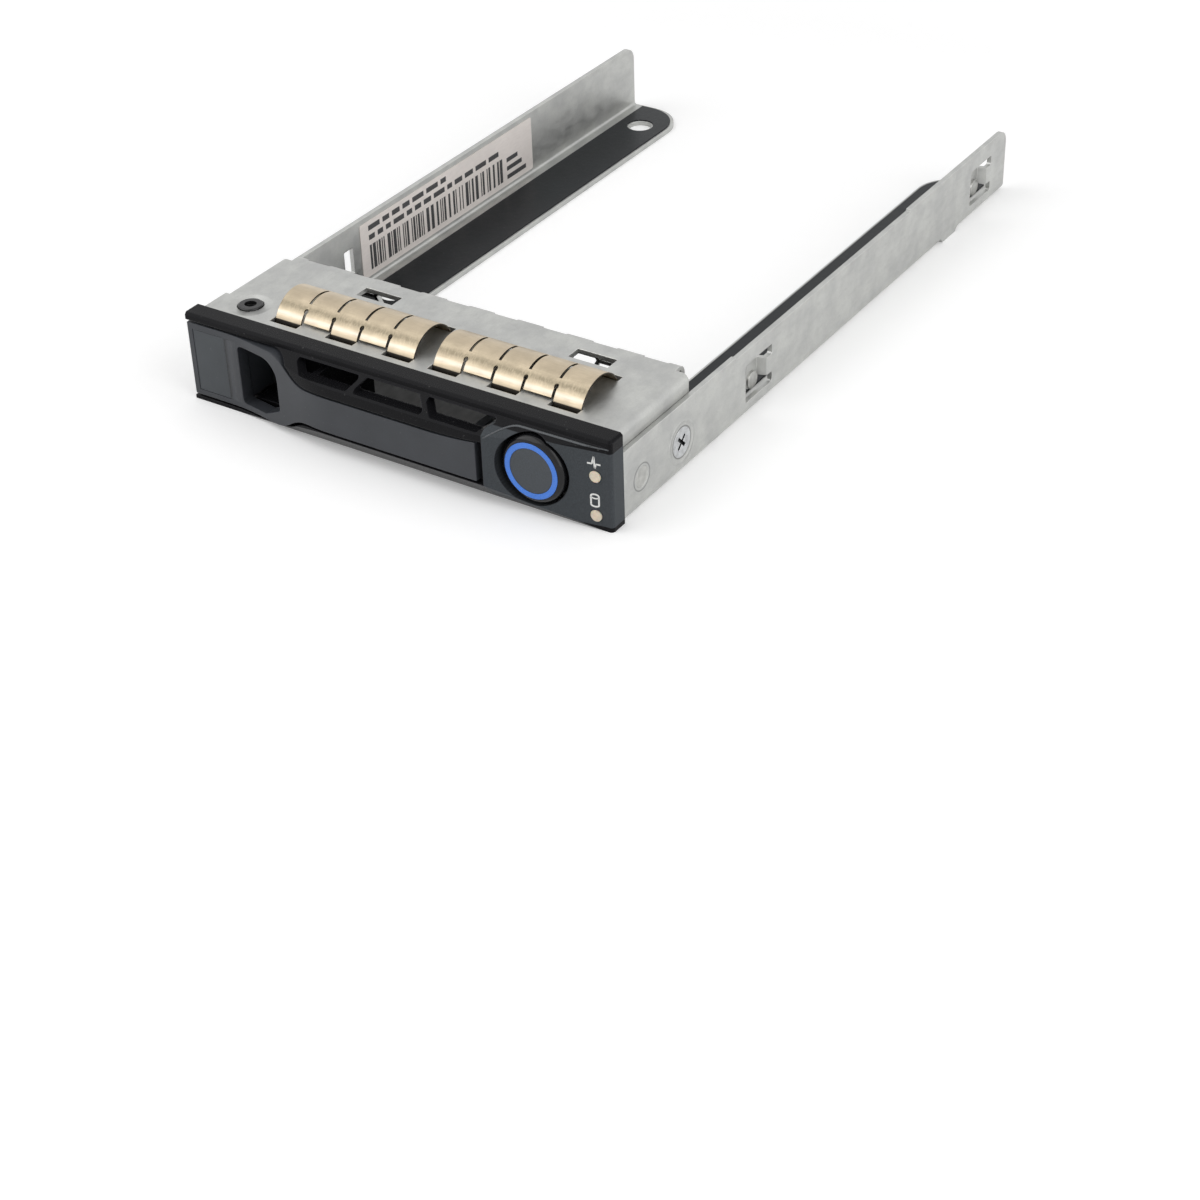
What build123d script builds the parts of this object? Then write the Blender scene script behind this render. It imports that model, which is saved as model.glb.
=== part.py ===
from build123d import *
import os
from math import sqrt

os.makedirs("parts", exist_ok=True)

# A front-loading carrier for a 2.5 inch drive. X runs across it, seen from its front, Y runs
# from the front to the back and Z up. y = 0 is the front end of the folded sheet, z = 0 its
# underside and x = 0 the middle between its two arms. All sizes are in millimetres.

# Tray, folded from one galvanised sheet
sheet = 0.8
tray_side_gap = 2.275
tray_bend = 1.3
arm_end = 9.5
arm_difference = 1.2
right_arm_height = 11.5
left_arm_height = 12.2
arm_corner = 2.4
arm_waist_depth = 0.35
arm_waist_start = 31.0
arm_waist_end = 87.5
flange_width = 12.4
bay_front = 26.4
bay_corner = 6.0
flange_corner = 7.0
corner_window_inner_inset = 11.1
corner_window_outer_inset = 2.2
corner_window_front = 19.0
corner_window_back = 28.0
corner_window_radius = 1.3
heel_notch_length = 9.0

# Drive fixing points
drive_width = 69.85
drive_hole_span = 76.6
drive_hole_front = 38.1
bottom_hole_inset = 4.065
bottom_hole_diameter = 4.2
side_hole_height = 3.0

# Lanced clips of the right arm
clip_window_length = 8.0
clip_window_height = 6.4
clip_window_bottom = 2.3
clip_pin_setback = 4.2
clip_slot_height = 1.7
clip_tongue_length = 1.6
clip_offset = 1.5
clip_web_length = 2.8
clip_web_height = 5.0
clip_pin_diameter = 2.6
clip_pin_length = 1.5
clip_head_diameter = 2.8
clip_head_depth = 0.35
clip_step = 0.6

# Small windows and bend reliefs of the arms
peep_window_length = 2.4
peep_window_height = 4.6
peep_window_bottom = 3.8
peep_window_starts = (25.0, 34.2)
relief_radius = 0.7
relief_span = 6.4
right_relief_middle = 102.9
left_relief_middle = 107.6

# Insulating film and label
film_thickness = 0.15
film_edge = 0.45
film_bend_gap = 2.0
film_front = 22.8
film_hole_diameter = 4.8
label_thickness = 0.1
label_length = 49.9
label_height = 9.7
label_front = 38.6
label_bottom = 1.6

# Front box cover, folded from one sheet
cover_sheet = 0.8
cover_top = 14.4
cover_bend = 1.1
cover_wall_bend = 1.5
cover_wall_back = 21.6
cover_wall_inset = 2.0
cover_front = 0.2
cover_side_back = 19.0
cover_side_bottom = 1.6
cover_fit = 0.05
cover_step_depth = 5.5
vent_across_flats = 4.5
vent_column_pitch = 4.4
vent_high_rows = (13.6, 8.5, 3.4)
vent_low_rows = (11.05, 5.95)
vent_high_columns = 8
vent_notch_front = 20.3
cover_tab_width = 3.8
cover_tab_slot_length = 9.7
cover_tab_slot_front = 20.7
cover_tab_slot_back = 22.7
cover_tab_fit = 0.1
cover_tab_starts = (-20.5, 12.7)
grip_slot_length = 6.8
grip_slot_width = 2.7
grip_slot_front = 14.8
grip_slot_starts = (-19.3, 19.3)

# Contact spring strips on the cover
strip_thickness = 0.2
strip_rise = 2.95
strip_half_depth = 4.8
strip_middle = 7.85
strip_length = 26.0
strip_segments = 5
strip_starts = (-25.4, 3.7)
strip_slit = 0.45
strip_slit_end = 0.7
strip_crest_slit = 2.35
strip_edge_slit = 3.5
strip_free_height = 0.3
strip_seat = 0.05
strip_hook_length = 1.4
strip_slot_front = 1.35
strip_slot_back = 1.0
strip_slot_inside = 0.3
strip_slot_length = 5.1

# Fasteners
screw_diameter = 2.5
screw_head_diameter = 4.7
screw_head_depth = 1.1
screw_length = 3.6
screw_y = 15.5
screw_z = 5.2
screw_recess_depth = 0.6
screw_recess_length = 2.6
screw_recess_width = 0.55
screw_collar_diameter = 4.2
screw_collar_length = 1.2
rivet_diameter = 3.2
rivet_head_diameter = 4.0
rivet_head_depth = 0.6
rivet_y = 4.65
fastener_clearance = 0.03

# Bezel: a hull with a flat back, a forward bulge and sloping shoulders
bezel_depth = 3.1
bezel_height = 14.8
bezel_chamfer = 0.35
bezel_corner = 0.6
strip_bottom = 13.7
bulge = 3.0
bulge_starts_inset = 10.0
bulge_full_from_inset = 26.0
bulge_full_to_inset = 20.0
bulge_ends_inset = 1.0
hull_shoulder_low = 3.3
hull_shoulder_high = 11.4
hull_rounding = 30.0
bezel_wall = 1.2
lip_height = 0.6
lever_gap = 0.4
lever_room = 0.3
window_bottom = 11.6
window_top = 13.45
window_corner = 0.35
windows = (
    (-16.6, -4.4, -5.9, -14.4),
    (-3.5, 5.9, 8.2, -5.0),
    (6.8, 20.3, 17.2, 9.1),
)
tongue_depth = 4.5
tongue_thickness = 0.9
tongue_fit = 0.05
tongue_root = 0.5
floor_tongue_insets = (10.0, 5.0)
top_tongues = ((-20.2, -15.4), (9.4, 13.9), (29.9, 33.0))
inner_wall = 0.9
inner_wall_top = 13.0
pocket_back = 9.0
pocket_left_inset = 1.8
pocket_right_inset = 25.5
panel_left_inset = 19.9
guide_right_inset = 3.8
lug_inner_inset = 3.1
lug_outer_inset = 1.7
lug_back = 8.0
lug_height = 3.8
light_pipe_inset = 2.6
light_pipe_heights = (8.7, 2.3)
light_pipe_diameter = 1.8
light_pipe_proud = 0.1
light_pipe_back = 14.0
light_pipe_fit = 0.03

# Lever
lever_left_inset = 0.2
lever_right_inset = 21.0
lever_thickness = 2.2
lever_bottom = 1.0
lever_top = 13.25
lever_bar_bottom = 3.7
lever_bar_top = 9.4
lever_s_start_inset = 16.5
lever_s_end_inset = 24.5
lever_rise_start_inset = 30.0
lever_end_top = 10.0
lever_corner = 0.6
finger_left_inset = 9.8
finger_right_inset = 18.2
finger_bottom = 1.9
finger_top = 11.8
finger_corner = 0.8
finger_round = 3.2
finger_slant = 3.4
finger_wall = 0.6
inlay_left_inset = 1.1
inlay_right_inset = 9.4
inlay_bottom = 1.8
inlay_top = 12.3
inlay_recess = 0.3
inlay_sunk = 0.05
inlay_gap = 0.08
pivot_inset = 6.8
pivot_y = 4.2
pivot_diameter = 2.6
pivot_head_diameter = 3.9
pivot_hole_clearance = 0.12
pivot_head_bottom = 13.25
pivot_head_top = 14.65
pivot_head_edge = 0.25
pivot_socket = 1.9
pivot_socket_depth = 0.6
pivot_running_clearance = 0.03
barrel_diameter = 6.0
barrel_top = 13.2
web_bottom = 5.4
web_half_width = 2.5
hook_right_inset = 22.6
hook_arm = 1.5
hook_nose = 1.1
hook_nose_depth = 1.2
hook_height = 2.6
hook_tip = 4.2

# Lever spring
lever_spring_wire = 0.5
lever_spring_turns = 5
lever_spring_clearance = 0.25
lever_spring_bottom = 1.4

# Button and latch
button_inset = 12.2
button_z = 7.5
button_bore = 11.4
button_diameter = 10.6
button_face = -5.0
button_back = -1.6
button_edge = 0.9
button_travel = 1.8
button_ring_outer = 8.9
button_ring_inner = 7.2
button_ring_depth = 0.6
button_ring_proud = 0.05
button_skin = 1.2
collar_wall = 0.8
collar_back = -2.7
ear_length = 13.0
ear_height = 4.0
ear_thickness = 0.9
stem_left_inset = 14.6
stem_right_inset = 10.0
stem_height = 3.2
stem_tip = 3.4
latch_left_inset = 22.45
latch_right_inset = 7.8
latch_front = 0.6
latch_back = 2.8
latch_height = 5.2
latch_clearance = 0.2
guide_back = 3.4
guide_lip = 0.8
latch_spring_diameter = 2.6
latch_spring_wire = 0.35
latch_spring_turns = 3

# Sizes that follow from the ones above
half_width = drive_width / 2 + tray_side_gap + sheet
right_arm_length = drive_hole_front + drive_hole_span + arm_end
left_arm_length = right_arm_length - arm_difference
bay_half_width = half_width - flange_width
corner_window_inner = half_width - corner_window_inner_inset
corner_window_outer = half_width - corner_window_outer_inset
bottom_hole_x = drive_width / 2 - bottom_hole_inset
cover_wall_half_width = half_width - cover_wall_inset
bulge_full_to = half_width - bulge_full_to_inset
bulge_ends = half_width - bulge_ends_inset
panel_left = half_width - panel_left_inset
guide_right = half_width - guide_right_inset
lug_inner = half_width - lug_inner_inset
lug_outer = half_width - lug_outer_inset
light_pipe_x = half_width - light_pipe_inset
lever_right = half_width - lever_right_inset
lever_rise_start = half_width - lever_rise_start_inset
hook_right = half_width - hook_right_inset
button_x = half_width - button_inset
stem_left = half_width - stem_left_inset
stem_right = half_width - stem_right_inset
latch_left = half_width - latch_left_inset
latch_right = half_width - latch_right_inset
bulge_starts = bulge_starts_inset - half_width
bulge_full_from = bulge_full_from_inset - half_width
pocket_left = pocket_left_inset - half_width
pocket_right = pocket_right_inset - half_width
lever_left = lever_left_inset - half_width
lever_s_start = lever_s_start_inset - half_width
lever_s_end = lever_s_end_inset - half_width
finger_left = finger_left_inset - half_width
finger_right = finger_right_inset - half_width
inlay_left = inlay_left_inset - half_width
inlay_right = inlay_right_inset - half_width
pivot_x = pivot_inset - half_width
floor_tongue = (floor_tongue_insets[0] - half_width, half_width - floor_tongue_insets[1])
arm_inner = half_width - sheet
cover_side = arm_inner - cover_fit
cover_under = cover_top - cover_sheet
drive_rest = sheet + film_thickness
clip_pin_z = drive_rest + side_hole_height
clip_pin_ys = (drive_hole_front, drive_hole_front + drive_hole_span)
strip_radius = (strip_rise**2 + strip_half_depth**2) / (2 * strip_rise)
strip_centre_z = cover_top + strip_rise - strip_radius
strip_pitch = strip_length / strip_segments
coil_radius = pivot_diameter / 2 + lever_spring_clearance + lever_spring_wire / 2
wall_left = pivot_x + coil_radius + lever_spring_wire / 2 + lever_spring_clearance
low_slope = hull_shoulder_low / bulge
high_slope = (strip_bottom - hull_shoulder_high) / bulge
hull_front = -(bezel_depth + bulge)
before_hull = hull_front - bulge


def at_x(x):
    """The plane across the carrier's width at x; sketches on it are drawn in Y and Z."""
    return Plane.YZ.offset(x)


def at_y(y):
    """The plane across the carrier's length at y; sketches on it are drawn in X and Z."""
    return Plane.XZ.offset(-y)


def at_z(z):
    """The level plane at height z; sketches on it are drawn in X and Y."""
    return Plane.XY.offset(z)


def block(x_span, y_span, z_span, mode=Mode.ADD):
    """A square-edged block between two x, two y and two z values."""
    spans = (x_span, y_span, z_span)
    middle = [(low + high) / 2 for low, high in spans]
    size = [high - low for low, high in spans]
    with Locations(tuple(middle)):
        Box(*size, mode=mode)


def rod(start, end, diameter, mode=Mode.ADD):
    """A round rod from one point to another."""
    way = Vector(*end) - Vector(*start)
    plane = Plane(origin=start, z_dir=way)
    with Locations(plane.location):
        Cylinder(diameter / 2, way.length, align=(Align.CENTER, Align.CENTER, Align.MIN), mode=mode)


# Tray
with BuildPart() as tray_frame:
    with BuildSketch(at_y(right_arm_length)):
        with BuildLine():
            FilletPolyline(
                (-half_width, left_arm_height),
                (-half_width, 0),
                (half_width, 0),
                (half_width, right_arm_height),
                radius=tray_bend,
            )
            offset(amount=sheet, side=Side.LEFT)
        make_face()
    extrude(amount=right_arm_length)

    # The drive bay, open to the back, with rounded inner and outer flange corners
    with BuildSketch(Plane.XY):
        with BuildLine():
            inner = Polyline(
                (0, bay_front),
                (bay_half_width, bay_front),
                (bay_half_width, left_arm_length - flange_corner),
            )
            JernArc(inner @ 1, (0, 1), flange_corner, -90)
            tail = Polyline(
                (bay_half_width + flange_corner, left_arm_length),
                (bay_half_width + flange_corner, right_arm_length + sheet),
                (0, right_arm_length + sheet),
            )
            mirror(about=Plane.YZ)
        make_face()
        corners = [v for v in vertices() if abs(v.Y - bay_front) < sheet and abs(v.X) > sheet]
        fillet(corners, bay_corner)
    extrude(amount=sheet, mode=Mode.SUBTRACT)

    # The left arm is a little shorter
    block(
        (-half_width, 0),
        (left_arm_length, right_arm_length),
        (0, left_arm_height),
        mode=Mode.SUBTRACT,
    )
    rear_tops = [
        tray_frame.edges().filter_by(Axis.X).filter_by(lambda e: e.center().X > 0)
        .group_by(Axis.Y)[-1].sort_by(Axis.Z)[-1],
        tray_frame.edges().filter_by(Axis.X).filter_by(lambda e: e.center().X < -bay_half_width)
        .group_by(Axis.Y)[-1].sort_by(Axis.Z)[-1],
    ]
    fillet(rear_tops, arm_corner)

    # The right arm's top edge is a little lower between the box and the rear third
    block(
        (arm_inner, half_width),
        (arm_waist_start, arm_waist_end),
        (right_arm_height - arm_waist_depth, right_arm_height),
        mode=Mode.SUBTRACT,
    )

    # Square windows in the floor at both rear corners of the front box
    with BuildSketch(Plane.XY):
        window_middle = (corner_window_inner + corner_window_outer) / 2
        for side in (-1, 1):
            with Locations((side * window_middle, (corner_window_front + corner_window_back) / 2)):
                RectangleRounded(
                    corner_window_outer - corner_window_inner,
                    corner_window_back - corner_window_front,
                    corner_window_radius,
                )
        # Slots that take the rear wall's tabs
        for start in cover_tab_starts:
            with Locations((start, cover_tab_slot_front)):
                Rectangle(
                    cover_tab_slot_length,
                    cover_tab_slot_back - cover_tab_slot_front,
                    align=(Align.MIN, Align.MIN),
                )
        # Holes for the screws that hold a drive from below
        for side in (-1, 1):
            for y in clip_pin_ys:
                with Locations((side * bottom_hole_x, y)):
                    Circle(bottom_hole_diameter / 2)
        # Hole for the lever's pivot pin
        with Locations((pivot_x, pivot_y)):
            Circle(pivot_diameter / 2 + fastener_clearance)
    extrude(amount=sheet, mode=Mode.SUBTRACT)

    # The front of the left arm is cut away, where the lever's heel swings out
    block(
        (-half_width, tray_bend - half_width),
        (0, heel_notch_length),
        (0, left_arm_height),
        mode=Mode.SUBTRACT,
    )

    # Peep windows of the left arm
    with BuildSketch(at_x(-half_width)):
        for start in peep_window_starts:
            with Locations(
                (start + peep_window_length / 2, peep_window_bottom + peep_window_height / 2)
            ):
                RectangleRounded(peep_window_length, peep_window_height, sheet / 4)
    extrude(amount=sheet, mode=Mode.SUBTRACT)

    # Round reliefs at both ends of the short straight stretch in each bend
    for side, middle in ((1, right_relief_middle), (-1, left_relief_middle)):
        block(
            tuple(sorted((side * arm_inner, side * half_width))),
            (middle - relief_span / 2, middle + relief_span / 2),
            (0, tray_bend),
        )
        for end in (-1, 1):
            y = middle + end * relief_span / 2
            rod(
                (side * (half_width + sheet), y, 0),
                (side * (half_width - tray_bend), y, 0),
                2 * relief_radius,
                mode=Mode.SUBTRACT,
            )

    # Screw holes with their countersink, and the rivet's hole
    for side in (-1, 1):
        with Locations(Plane(origin=(side * half_width, screw_y, screw_z), z_dir=(side, 0, 0))):
            CounterSinkHole(
                screw_diameter / 2 + fastener_clearance,
                screw_head_diameter / 2 + fastener_clearance,
                depth=sheet + cover_fit,
                counter_sink_angle=90,
            )
    with Locations(Plane(origin=(half_width, rivet_y, screw_z), z_dir=(1, 0, 0))):
        Hole(rivet_diameter / 2 + fastener_clearance, depth=sheet + cover_fit)

    # Lanced clips: each is a tongue, set inwards, that carries a cross web with a pin
    for pin_y in clip_pin_ys:
        lance_front = pin_y - clip_pin_setback
        lance_back = lance_front + clip_window_length
        lance_top = clip_window_bottom + clip_window_height
        tongue_front = lance_back - clip_tongue_length
        tongue_bottom = clip_window_bottom + clip_slot_height
        tongue_top = lance_top - clip_slot_height
        web_outer = half_width - clip_offset
        with BuildSketch(at_x(arm_inner)):
            with BuildLine():
                FilletPolyline(
                    (lance_front, clip_window_bottom),
                    (lance_back, clip_window_bottom),
                    (lance_back, tongue_bottom),
                    (tongue_front, tongue_bottom),
                    (tongue_front, tongue_top),
                    (lance_back, tongue_top),
                    (lance_back, lance_top),
                    (lance_front, lance_top),
                    radius=sheet / 2,
                    close=True,
                )
            make_face()
        extrude(amount=sheet, mode=Mode.SUBTRACT)
        # Tongue, drawn from above: it leaves the arm and steps inwards to the web
        with BuildSketch(at_z(tongue_bottom)):
            with BuildLine():
                Polyline(
                    (half_width, tongue_front + sheet),
                    (half_width, tongue_front),
                    (web_outer, tongue_front - clip_step),
                    (web_outer, pin_y),
                    (web_outer - sheet, pin_y),
                    (web_outer - sheet, tongue_front - clip_step + sheet / 2),
                    (arm_inner, tongue_front + sheet / 2),
                    (arm_inner, tongue_front + sheet),
                    close=True,
                )
            make_face()
        extrude(amount=tongue_top - tongue_bottom)
        # Cross web
        with BuildSketch(at_x(web_outer - sheet)):
            with Locations((pin_y, clip_pin_z + clip_pin_diameter / 2)):
                RectangleRounded(clip_web_length, clip_web_height, sheet / 2)
        extrude(amount=sheet)
        # Hole for the pin staked into the web
        rod(
            (web_outer + sheet, pin_y, clip_pin_z),
            (web_outer - 2 * sheet, pin_y, clip_pin_z),
            clip_pin_diameter + 2 * fastener_clearance,
            mode=Mode.SUBTRACT,
        )

tray_frame.part.label = "tray_frame"
export_step(tray_frame.part, "parts/tray_frame.step")

# Insulating film on the floor behind the box and on both flanges
with BuildPart() as insulating_film:
    with BuildSketch(at_z(sheet)):
        film_outer = arm_inner - film_bend_gap
        film_back = left_arm_length - film_edge
        with Locations((0, film_front)):
            Rectangle(2 * film_outer, film_back - film_front, align=(Align.CENTER, Align.MIN))
        with BuildSketch(mode=Mode.SUBTRACT):
            with Locations((0, bay_front - film_edge)):
                Rectangle(
                    2 * (bay_half_width + film_edge),
                    film_back - bay_front + 2 * film_edge,
                    align=(Align.CENTER, Align.MIN),
                )
            fillet(vertices().group_by(Axis.Y)[0], bay_corner + film_edge)
        for side in (-1, 1):
            with Locations((side * window_middle, (corner_window_front + corner_window_back) / 2)):
                Rectangle(
                    corner_window_outer - corner_window_inner + film_edge,
                    corner_window_back - corner_window_front + film_edge,
                    mode=Mode.SUBTRACT,
                )
            for y in clip_pin_ys:
                with Locations((side * bottom_hole_x, y)):
                    Circle(film_hole_diameter / 2, mode=Mode.SUBTRACT)
        inner_rear = [
            v for v in vertices()
            if abs(v.Y - film_back) < sheet and abs(abs(v.X) - bay_half_width) < 2 * film_edge
        ]
        fillet(inner_rear, flange_corner)
    extrude(amount=film_thickness)
insulating_film.part.label = "insulating_film"
export_step(insulating_film.part, "parts/insulating_film.step")

# Blank label on the left arm's inner face
with BuildPart() as label:
    with BuildSketch(at_x(-arm_inner)):
        with Locations((label_front + label_length / 2, label_bottom + label_height / 2)):
            RectangleRounded(label_length, label_height, label_thickness * 3)
    extrude(amount=label_thickness)
label.part.label = "label"
export_step(label.part, "parts/label.step")

# Pins that enter the drive's side holes, staked into the clips' cross webs
with BuildPart() as drive_pins:
    web_face = half_width - clip_offset
    for pin_y in clip_pin_ys:
        rod(
            (web_face + clip_head_depth, pin_y, clip_pin_z),
            (web_face, pin_y, clip_pin_z),
            clip_head_diameter,
        )
        rod(
            (web_face, pin_y, clip_pin_z),
            (web_face - sheet - clip_pin_length, pin_y, clip_pin_z),
            clip_pin_diameter,
        )
drive_pins.part.label = "drive_pins"
export_step(drive_pins.part, "parts/drive_pins.step")

# Front box cover: the top plate and its folded sides, in one section across the box
with BuildPart() as front_cover:
    with BuildSketch(at_y(cover_side_back)):
        with BuildLine():
            FilletPolyline(
                (cover_side, cover_side_bottom),
                (cover_side, cover_top),
                (-cover_side, cover_top),
                (-cover_side, cover_side_bottom),
                radius=cover_bend,
            )
            offset(amount=cover_sheet, side=Side.LEFT)
        make_face()
    extrude(amount=cover_side_back - cover_front)
    # The left side leaves room for the lever's heel: flat plate only, a little wider in front
    block(
        (-cover_side, cover_sheet - cover_side),
        (0, heel_notch_length),
        (0, cover_under),
        mode=Mode.SUBTRACT,
    )
    block(
        (-cover_side, cover_bend - cover_side),
        (cover_front, cover_step_depth),
        (cover_under, cover_top),
    )
    # Rear wall, bent down from the plate and standing on the floor
    with BuildSketch(at_x(-cover_wall_half_width)):
        with BuildLine():
            FilletPolyline(
                (cover_side_back - cover_sheet, cover_top),
                (cover_wall_back, cover_top),
                (cover_wall_back, sheet),
                radius=cover_wall_bend,
            )
            offset(amount=cover_sheet, side=Side.RIGHT)
        make_face()
    extrude(amount=2 * cover_wall_half_width)
    # Tabs through the floor's slots
    for start in cover_tab_starts:
        block(
            (start + cover_tab_fit, start + cover_tab_fit + cover_tab_width),
            (cover_wall_back - cover_sheet, cover_wall_back),
            (0, 2 * sheet),
        )
    # Corner reliefs beside the rear wall
    for side in (-1, 1):
        edges_x = sorted((side * (cover_wall_half_width - cover_bend), side * half_width))
        block(
            tuple(edges_x),
            (cover_side_back, cover_wall_back),
            (cover_side_bottom, cover_top),
            mode=Mode.SUBTRACT,
        )
    # Honeycomb vents; the top row runs into the bend
    with BuildSketch(at_y(vent_notch_front)):
        for row_z in vent_high_rows:
            with Locations((0, row_z)):
                with GridLocations(2 * vent_column_pitch, 1, vent_high_columns, 1):
                    RegularPolygon(vent_across_flats / 2, 6, major_radius=False)
        for row_z in vent_low_rows:
            with Locations((0, row_z)):
                with GridLocations(2 * vent_column_pitch, 1, vent_high_columns - 1, 1):
                    RegularPolygon(vent_across_flats / 2, 6, major_radius=False)
    extrude(amount=-(cover_wall_back - vent_notch_front + sheet), mode=Mode.SUBTRACT)
    # Plate openings: grip slots, contact feet and the pivot pin's head
    with BuildSketch(at_z(cover_under)):
        for start in grip_slot_starts:
            with Locations((start, grip_slot_front)):
                Rectangle(grip_slot_length, grip_slot_width, align=(Align.MIN, Align.MIN))
        for start in strip_starts:
            for segment in range(0, strip_segments, 2):
                middle_x = start + segment * strip_pitch + (strip_pitch - strip_slit) / 2
                foot_front = strip_middle - strip_half_depth
                foot_back = strip_middle + strip_half_depth
                with Locations((middle_x, foot_front - strip_slot_front)):
                    Rectangle(
                        strip_slot_length,
                        strip_slot_front + strip_slot_inside,
                        align=(Align.CENTER, Align.MIN),
                    )
                with Locations((middle_x, foot_back - strip_slot_inside)):
                    Rectangle(
                        strip_slot_length,
                        strip_slot_back + strip_slot_inside,
                        align=(Align.CENTER, Align.MIN),
                    )
        with Locations((pivot_x, pivot_y)):
            Circle(pivot_head_diameter / 2 + pivot_hole_clearance)
    extrude(amount=cover_sheet, mode=Mode.SUBTRACT)
    # Collars for the side screws, and the rivet's hole
    for side in (-1, 1):
        inner_face = side * (cover_side - cover_sheet)
        rod(
            (inner_face, screw_y, screw_z),
            (inner_face - side * screw_collar_length, screw_y, screw_z),
            screw_collar_diameter,
        )
        with Locations(Plane(origin=(side * cover_side, screw_y, screw_z), z_dir=(side, 0, 0))):
            CounterSinkHole(
                screw_diameter / 2 + fastener_clearance,
                screw_head_diameter / 2 - sheet - cover_fit + fastener_clearance,
                depth=cover_sheet + screw_collar_length + cover_fit,
                counter_sink_angle=90,
            )
    with Locations(Plane(origin=(cover_side, rivet_y, screw_z), z_dir=(1, 0, 0))):
        Hole(rivet_diameter / 2 + fastener_clearance, depth=cover_sheet + cover_fit)
front_cover.part.label = "front_cover"
export_step(front_cover.part, "parts/front_cover.step")


def contact_strip(name, start):
    """One arched strip of contact fingers, hooked into the plate by every second finger."""
    with BuildPart() as strip:
        hook_top = cover_under - strip_seat
        hook_bottom = hook_top - strip_thickness
        foot_reach = sqrt(strip_radius**2 - (hook_bottom - strip_centre_z) ** 2)
        with BuildSketch(at_x(start)):
            with Locations((strip_middle, strip_centre_z)):
                Circle(strip_radius)
                Circle(strip_radius - strip_thickness, mode=Mode.SUBTRACT)
            with Locations((strip_middle, hook_bottom)):
                Rectangle(
                    2 * strip_radius,
                    2 * strip_radius,
                    align=(Align.CENTER, Align.MIN),
                    mode=Mode.INTERSECT,
                )
            for way in (-1, 1):
                foot_ys = sorted(
                    (
                        strip_middle + way * (foot_reach - strip_hook_length),
                        strip_middle + way * foot_reach,
                    )
                )
                with Locations((foot_ys[0], hook_bottom)):
                    Rectangle(
                        foot_ys[1] - foot_ys[0], strip_thickness, align=(Align.MIN, Align.MIN)
                    )
        extrude(amount=strip_length - strip_slit)
        # Every second finger stops above the plate
        for segment in range(1, strip_segments, 2):
            finger_left = start + segment * strip_pitch
            block(
                (finger_left - strip_slit, finger_left + strip_pitch),
                (strip_middle - 2 * strip_half_depth, strip_middle + 2 * strip_half_depth),
                (hook_bottom - strip_thickness, cover_top + strip_free_height),
                mode=Mode.SUBTRACT,
            )
        # Slits between the fingers: one over the crest and one up from each edge
        for segment in range(1, strip_segments):
            slit_right = start + segment * strip_pitch
            slit_x = (slit_right - strip_slit, slit_right)
            block(
                slit_x,
                (strip_middle - strip_crest_slit, strip_middle + strip_crest_slit),
                (cover_top, cover_top + 2 * strip_rise),
                mode=Mode.SUBTRACT,
            )
            for way in (-1, 1):
                slit_ys = sorted(
                    (
                        strip_middle + way * strip_edge_slit,
                        strip_middle + way * 2 * strip_half_depth,
                    )
                )
                block(
                    slit_x,
                    tuple(slit_ys),
                    (hook_bottom - strip_thickness, cover_top + strip_rise),
                    mode=Mode.SUBTRACT,
                )
                end_y = strip_middle + way * strip_edge_slit
                rod(
                    (slit_right - strip_slit / 2, end_y, cover_top),
                    (slit_right - strip_slit / 2, end_y, cover_top + strip_rise),
                    strip_slit_end,
                    mode=Mode.SUBTRACT,
                )
    strip.part.label = name
    export_step(strip.part, "parts/" + name + ".step")


contact_strip("emi_strip_left", strip_starts[0])
contact_strip("emi_strip_right", strip_starts[1])

# Countersunk screws, one in each side of the box
with BuildPart() as side_screws:
    for side in (-1, 1):
        face = side * half_width
        with Locations(Plane(origin=(face, screw_y, screw_z), z_dir=(-side, 0, 0))):
            Cone(
                screw_head_diameter / 2,
                screw_diameter / 2,
                screw_head_depth,
                align=(Align.CENTER, Align.CENTER, Align.MIN),
            )
        rod(
            (face - side * screw_head_depth, screw_y, screw_z),
            (face - side * screw_length, screw_y, screw_z),
            screw_diameter,
        )
        for turn in (45, 135):
            with Locations(
                Plane(origin=(face, screw_y, screw_z), z_dir=(side, 0, 0)) * Rotation(0, 0, turn)
            ):
                Box(
                    screw_recess_length,
                    screw_recess_width,
                    2 * screw_recess_depth,
                    mode=Mode.SUBTRACT,
                )
side_screws.part.label = "side_screws"
export_step(side_screws.part, "parts/side_screws.step")

# Flush rivet through the right arm, the cover's side and the bezel's lug
with BuildPart() as bezel_rivet:
    rod((half_width, rivet_y, screw_z), (lug_inner, rivet_y, screw_z), rivet_diameter)
    rod(
        (lug_inner, rivet_y, screw_z),
        (lug_inner - rivet_head_depth, rivet_y, screw_z),
        rivet_head_diameter,
    )
bezel_rivet.part.label = "bezel_rivet"
export_step(bezel_rivet.part, "parts/bezel_rivet.step")


def hull_plan(setback, left, right):
    """The bezel seen from above: flat back, forward bulge; drawn smaller by the setback."""
    front = -bezel_depth + setback
    points = [
        (left, 0),
        (left, front),
        (bulge_starts, front),
        (bulge_full_from, front - bulge),
        (bulge_full_to, front - bulge),
        (bulge_ends, front),
    ]
    if right > bulge_ends:
        points.append((right, front))
    points.append((right, 0))
    with BuildSketch(Plane.XY) as plan:
        with BuildLine():
            Polyline(*points, close=True)
        make_face()
        bends = [
            v for v in vertices()
            if v.Y < -tongue_root and bulge_starts - sheet < v.X < bulge_full_to + sheet
        ]
        fillet(bends, hull_rounding)
    return plan.sketch


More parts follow.
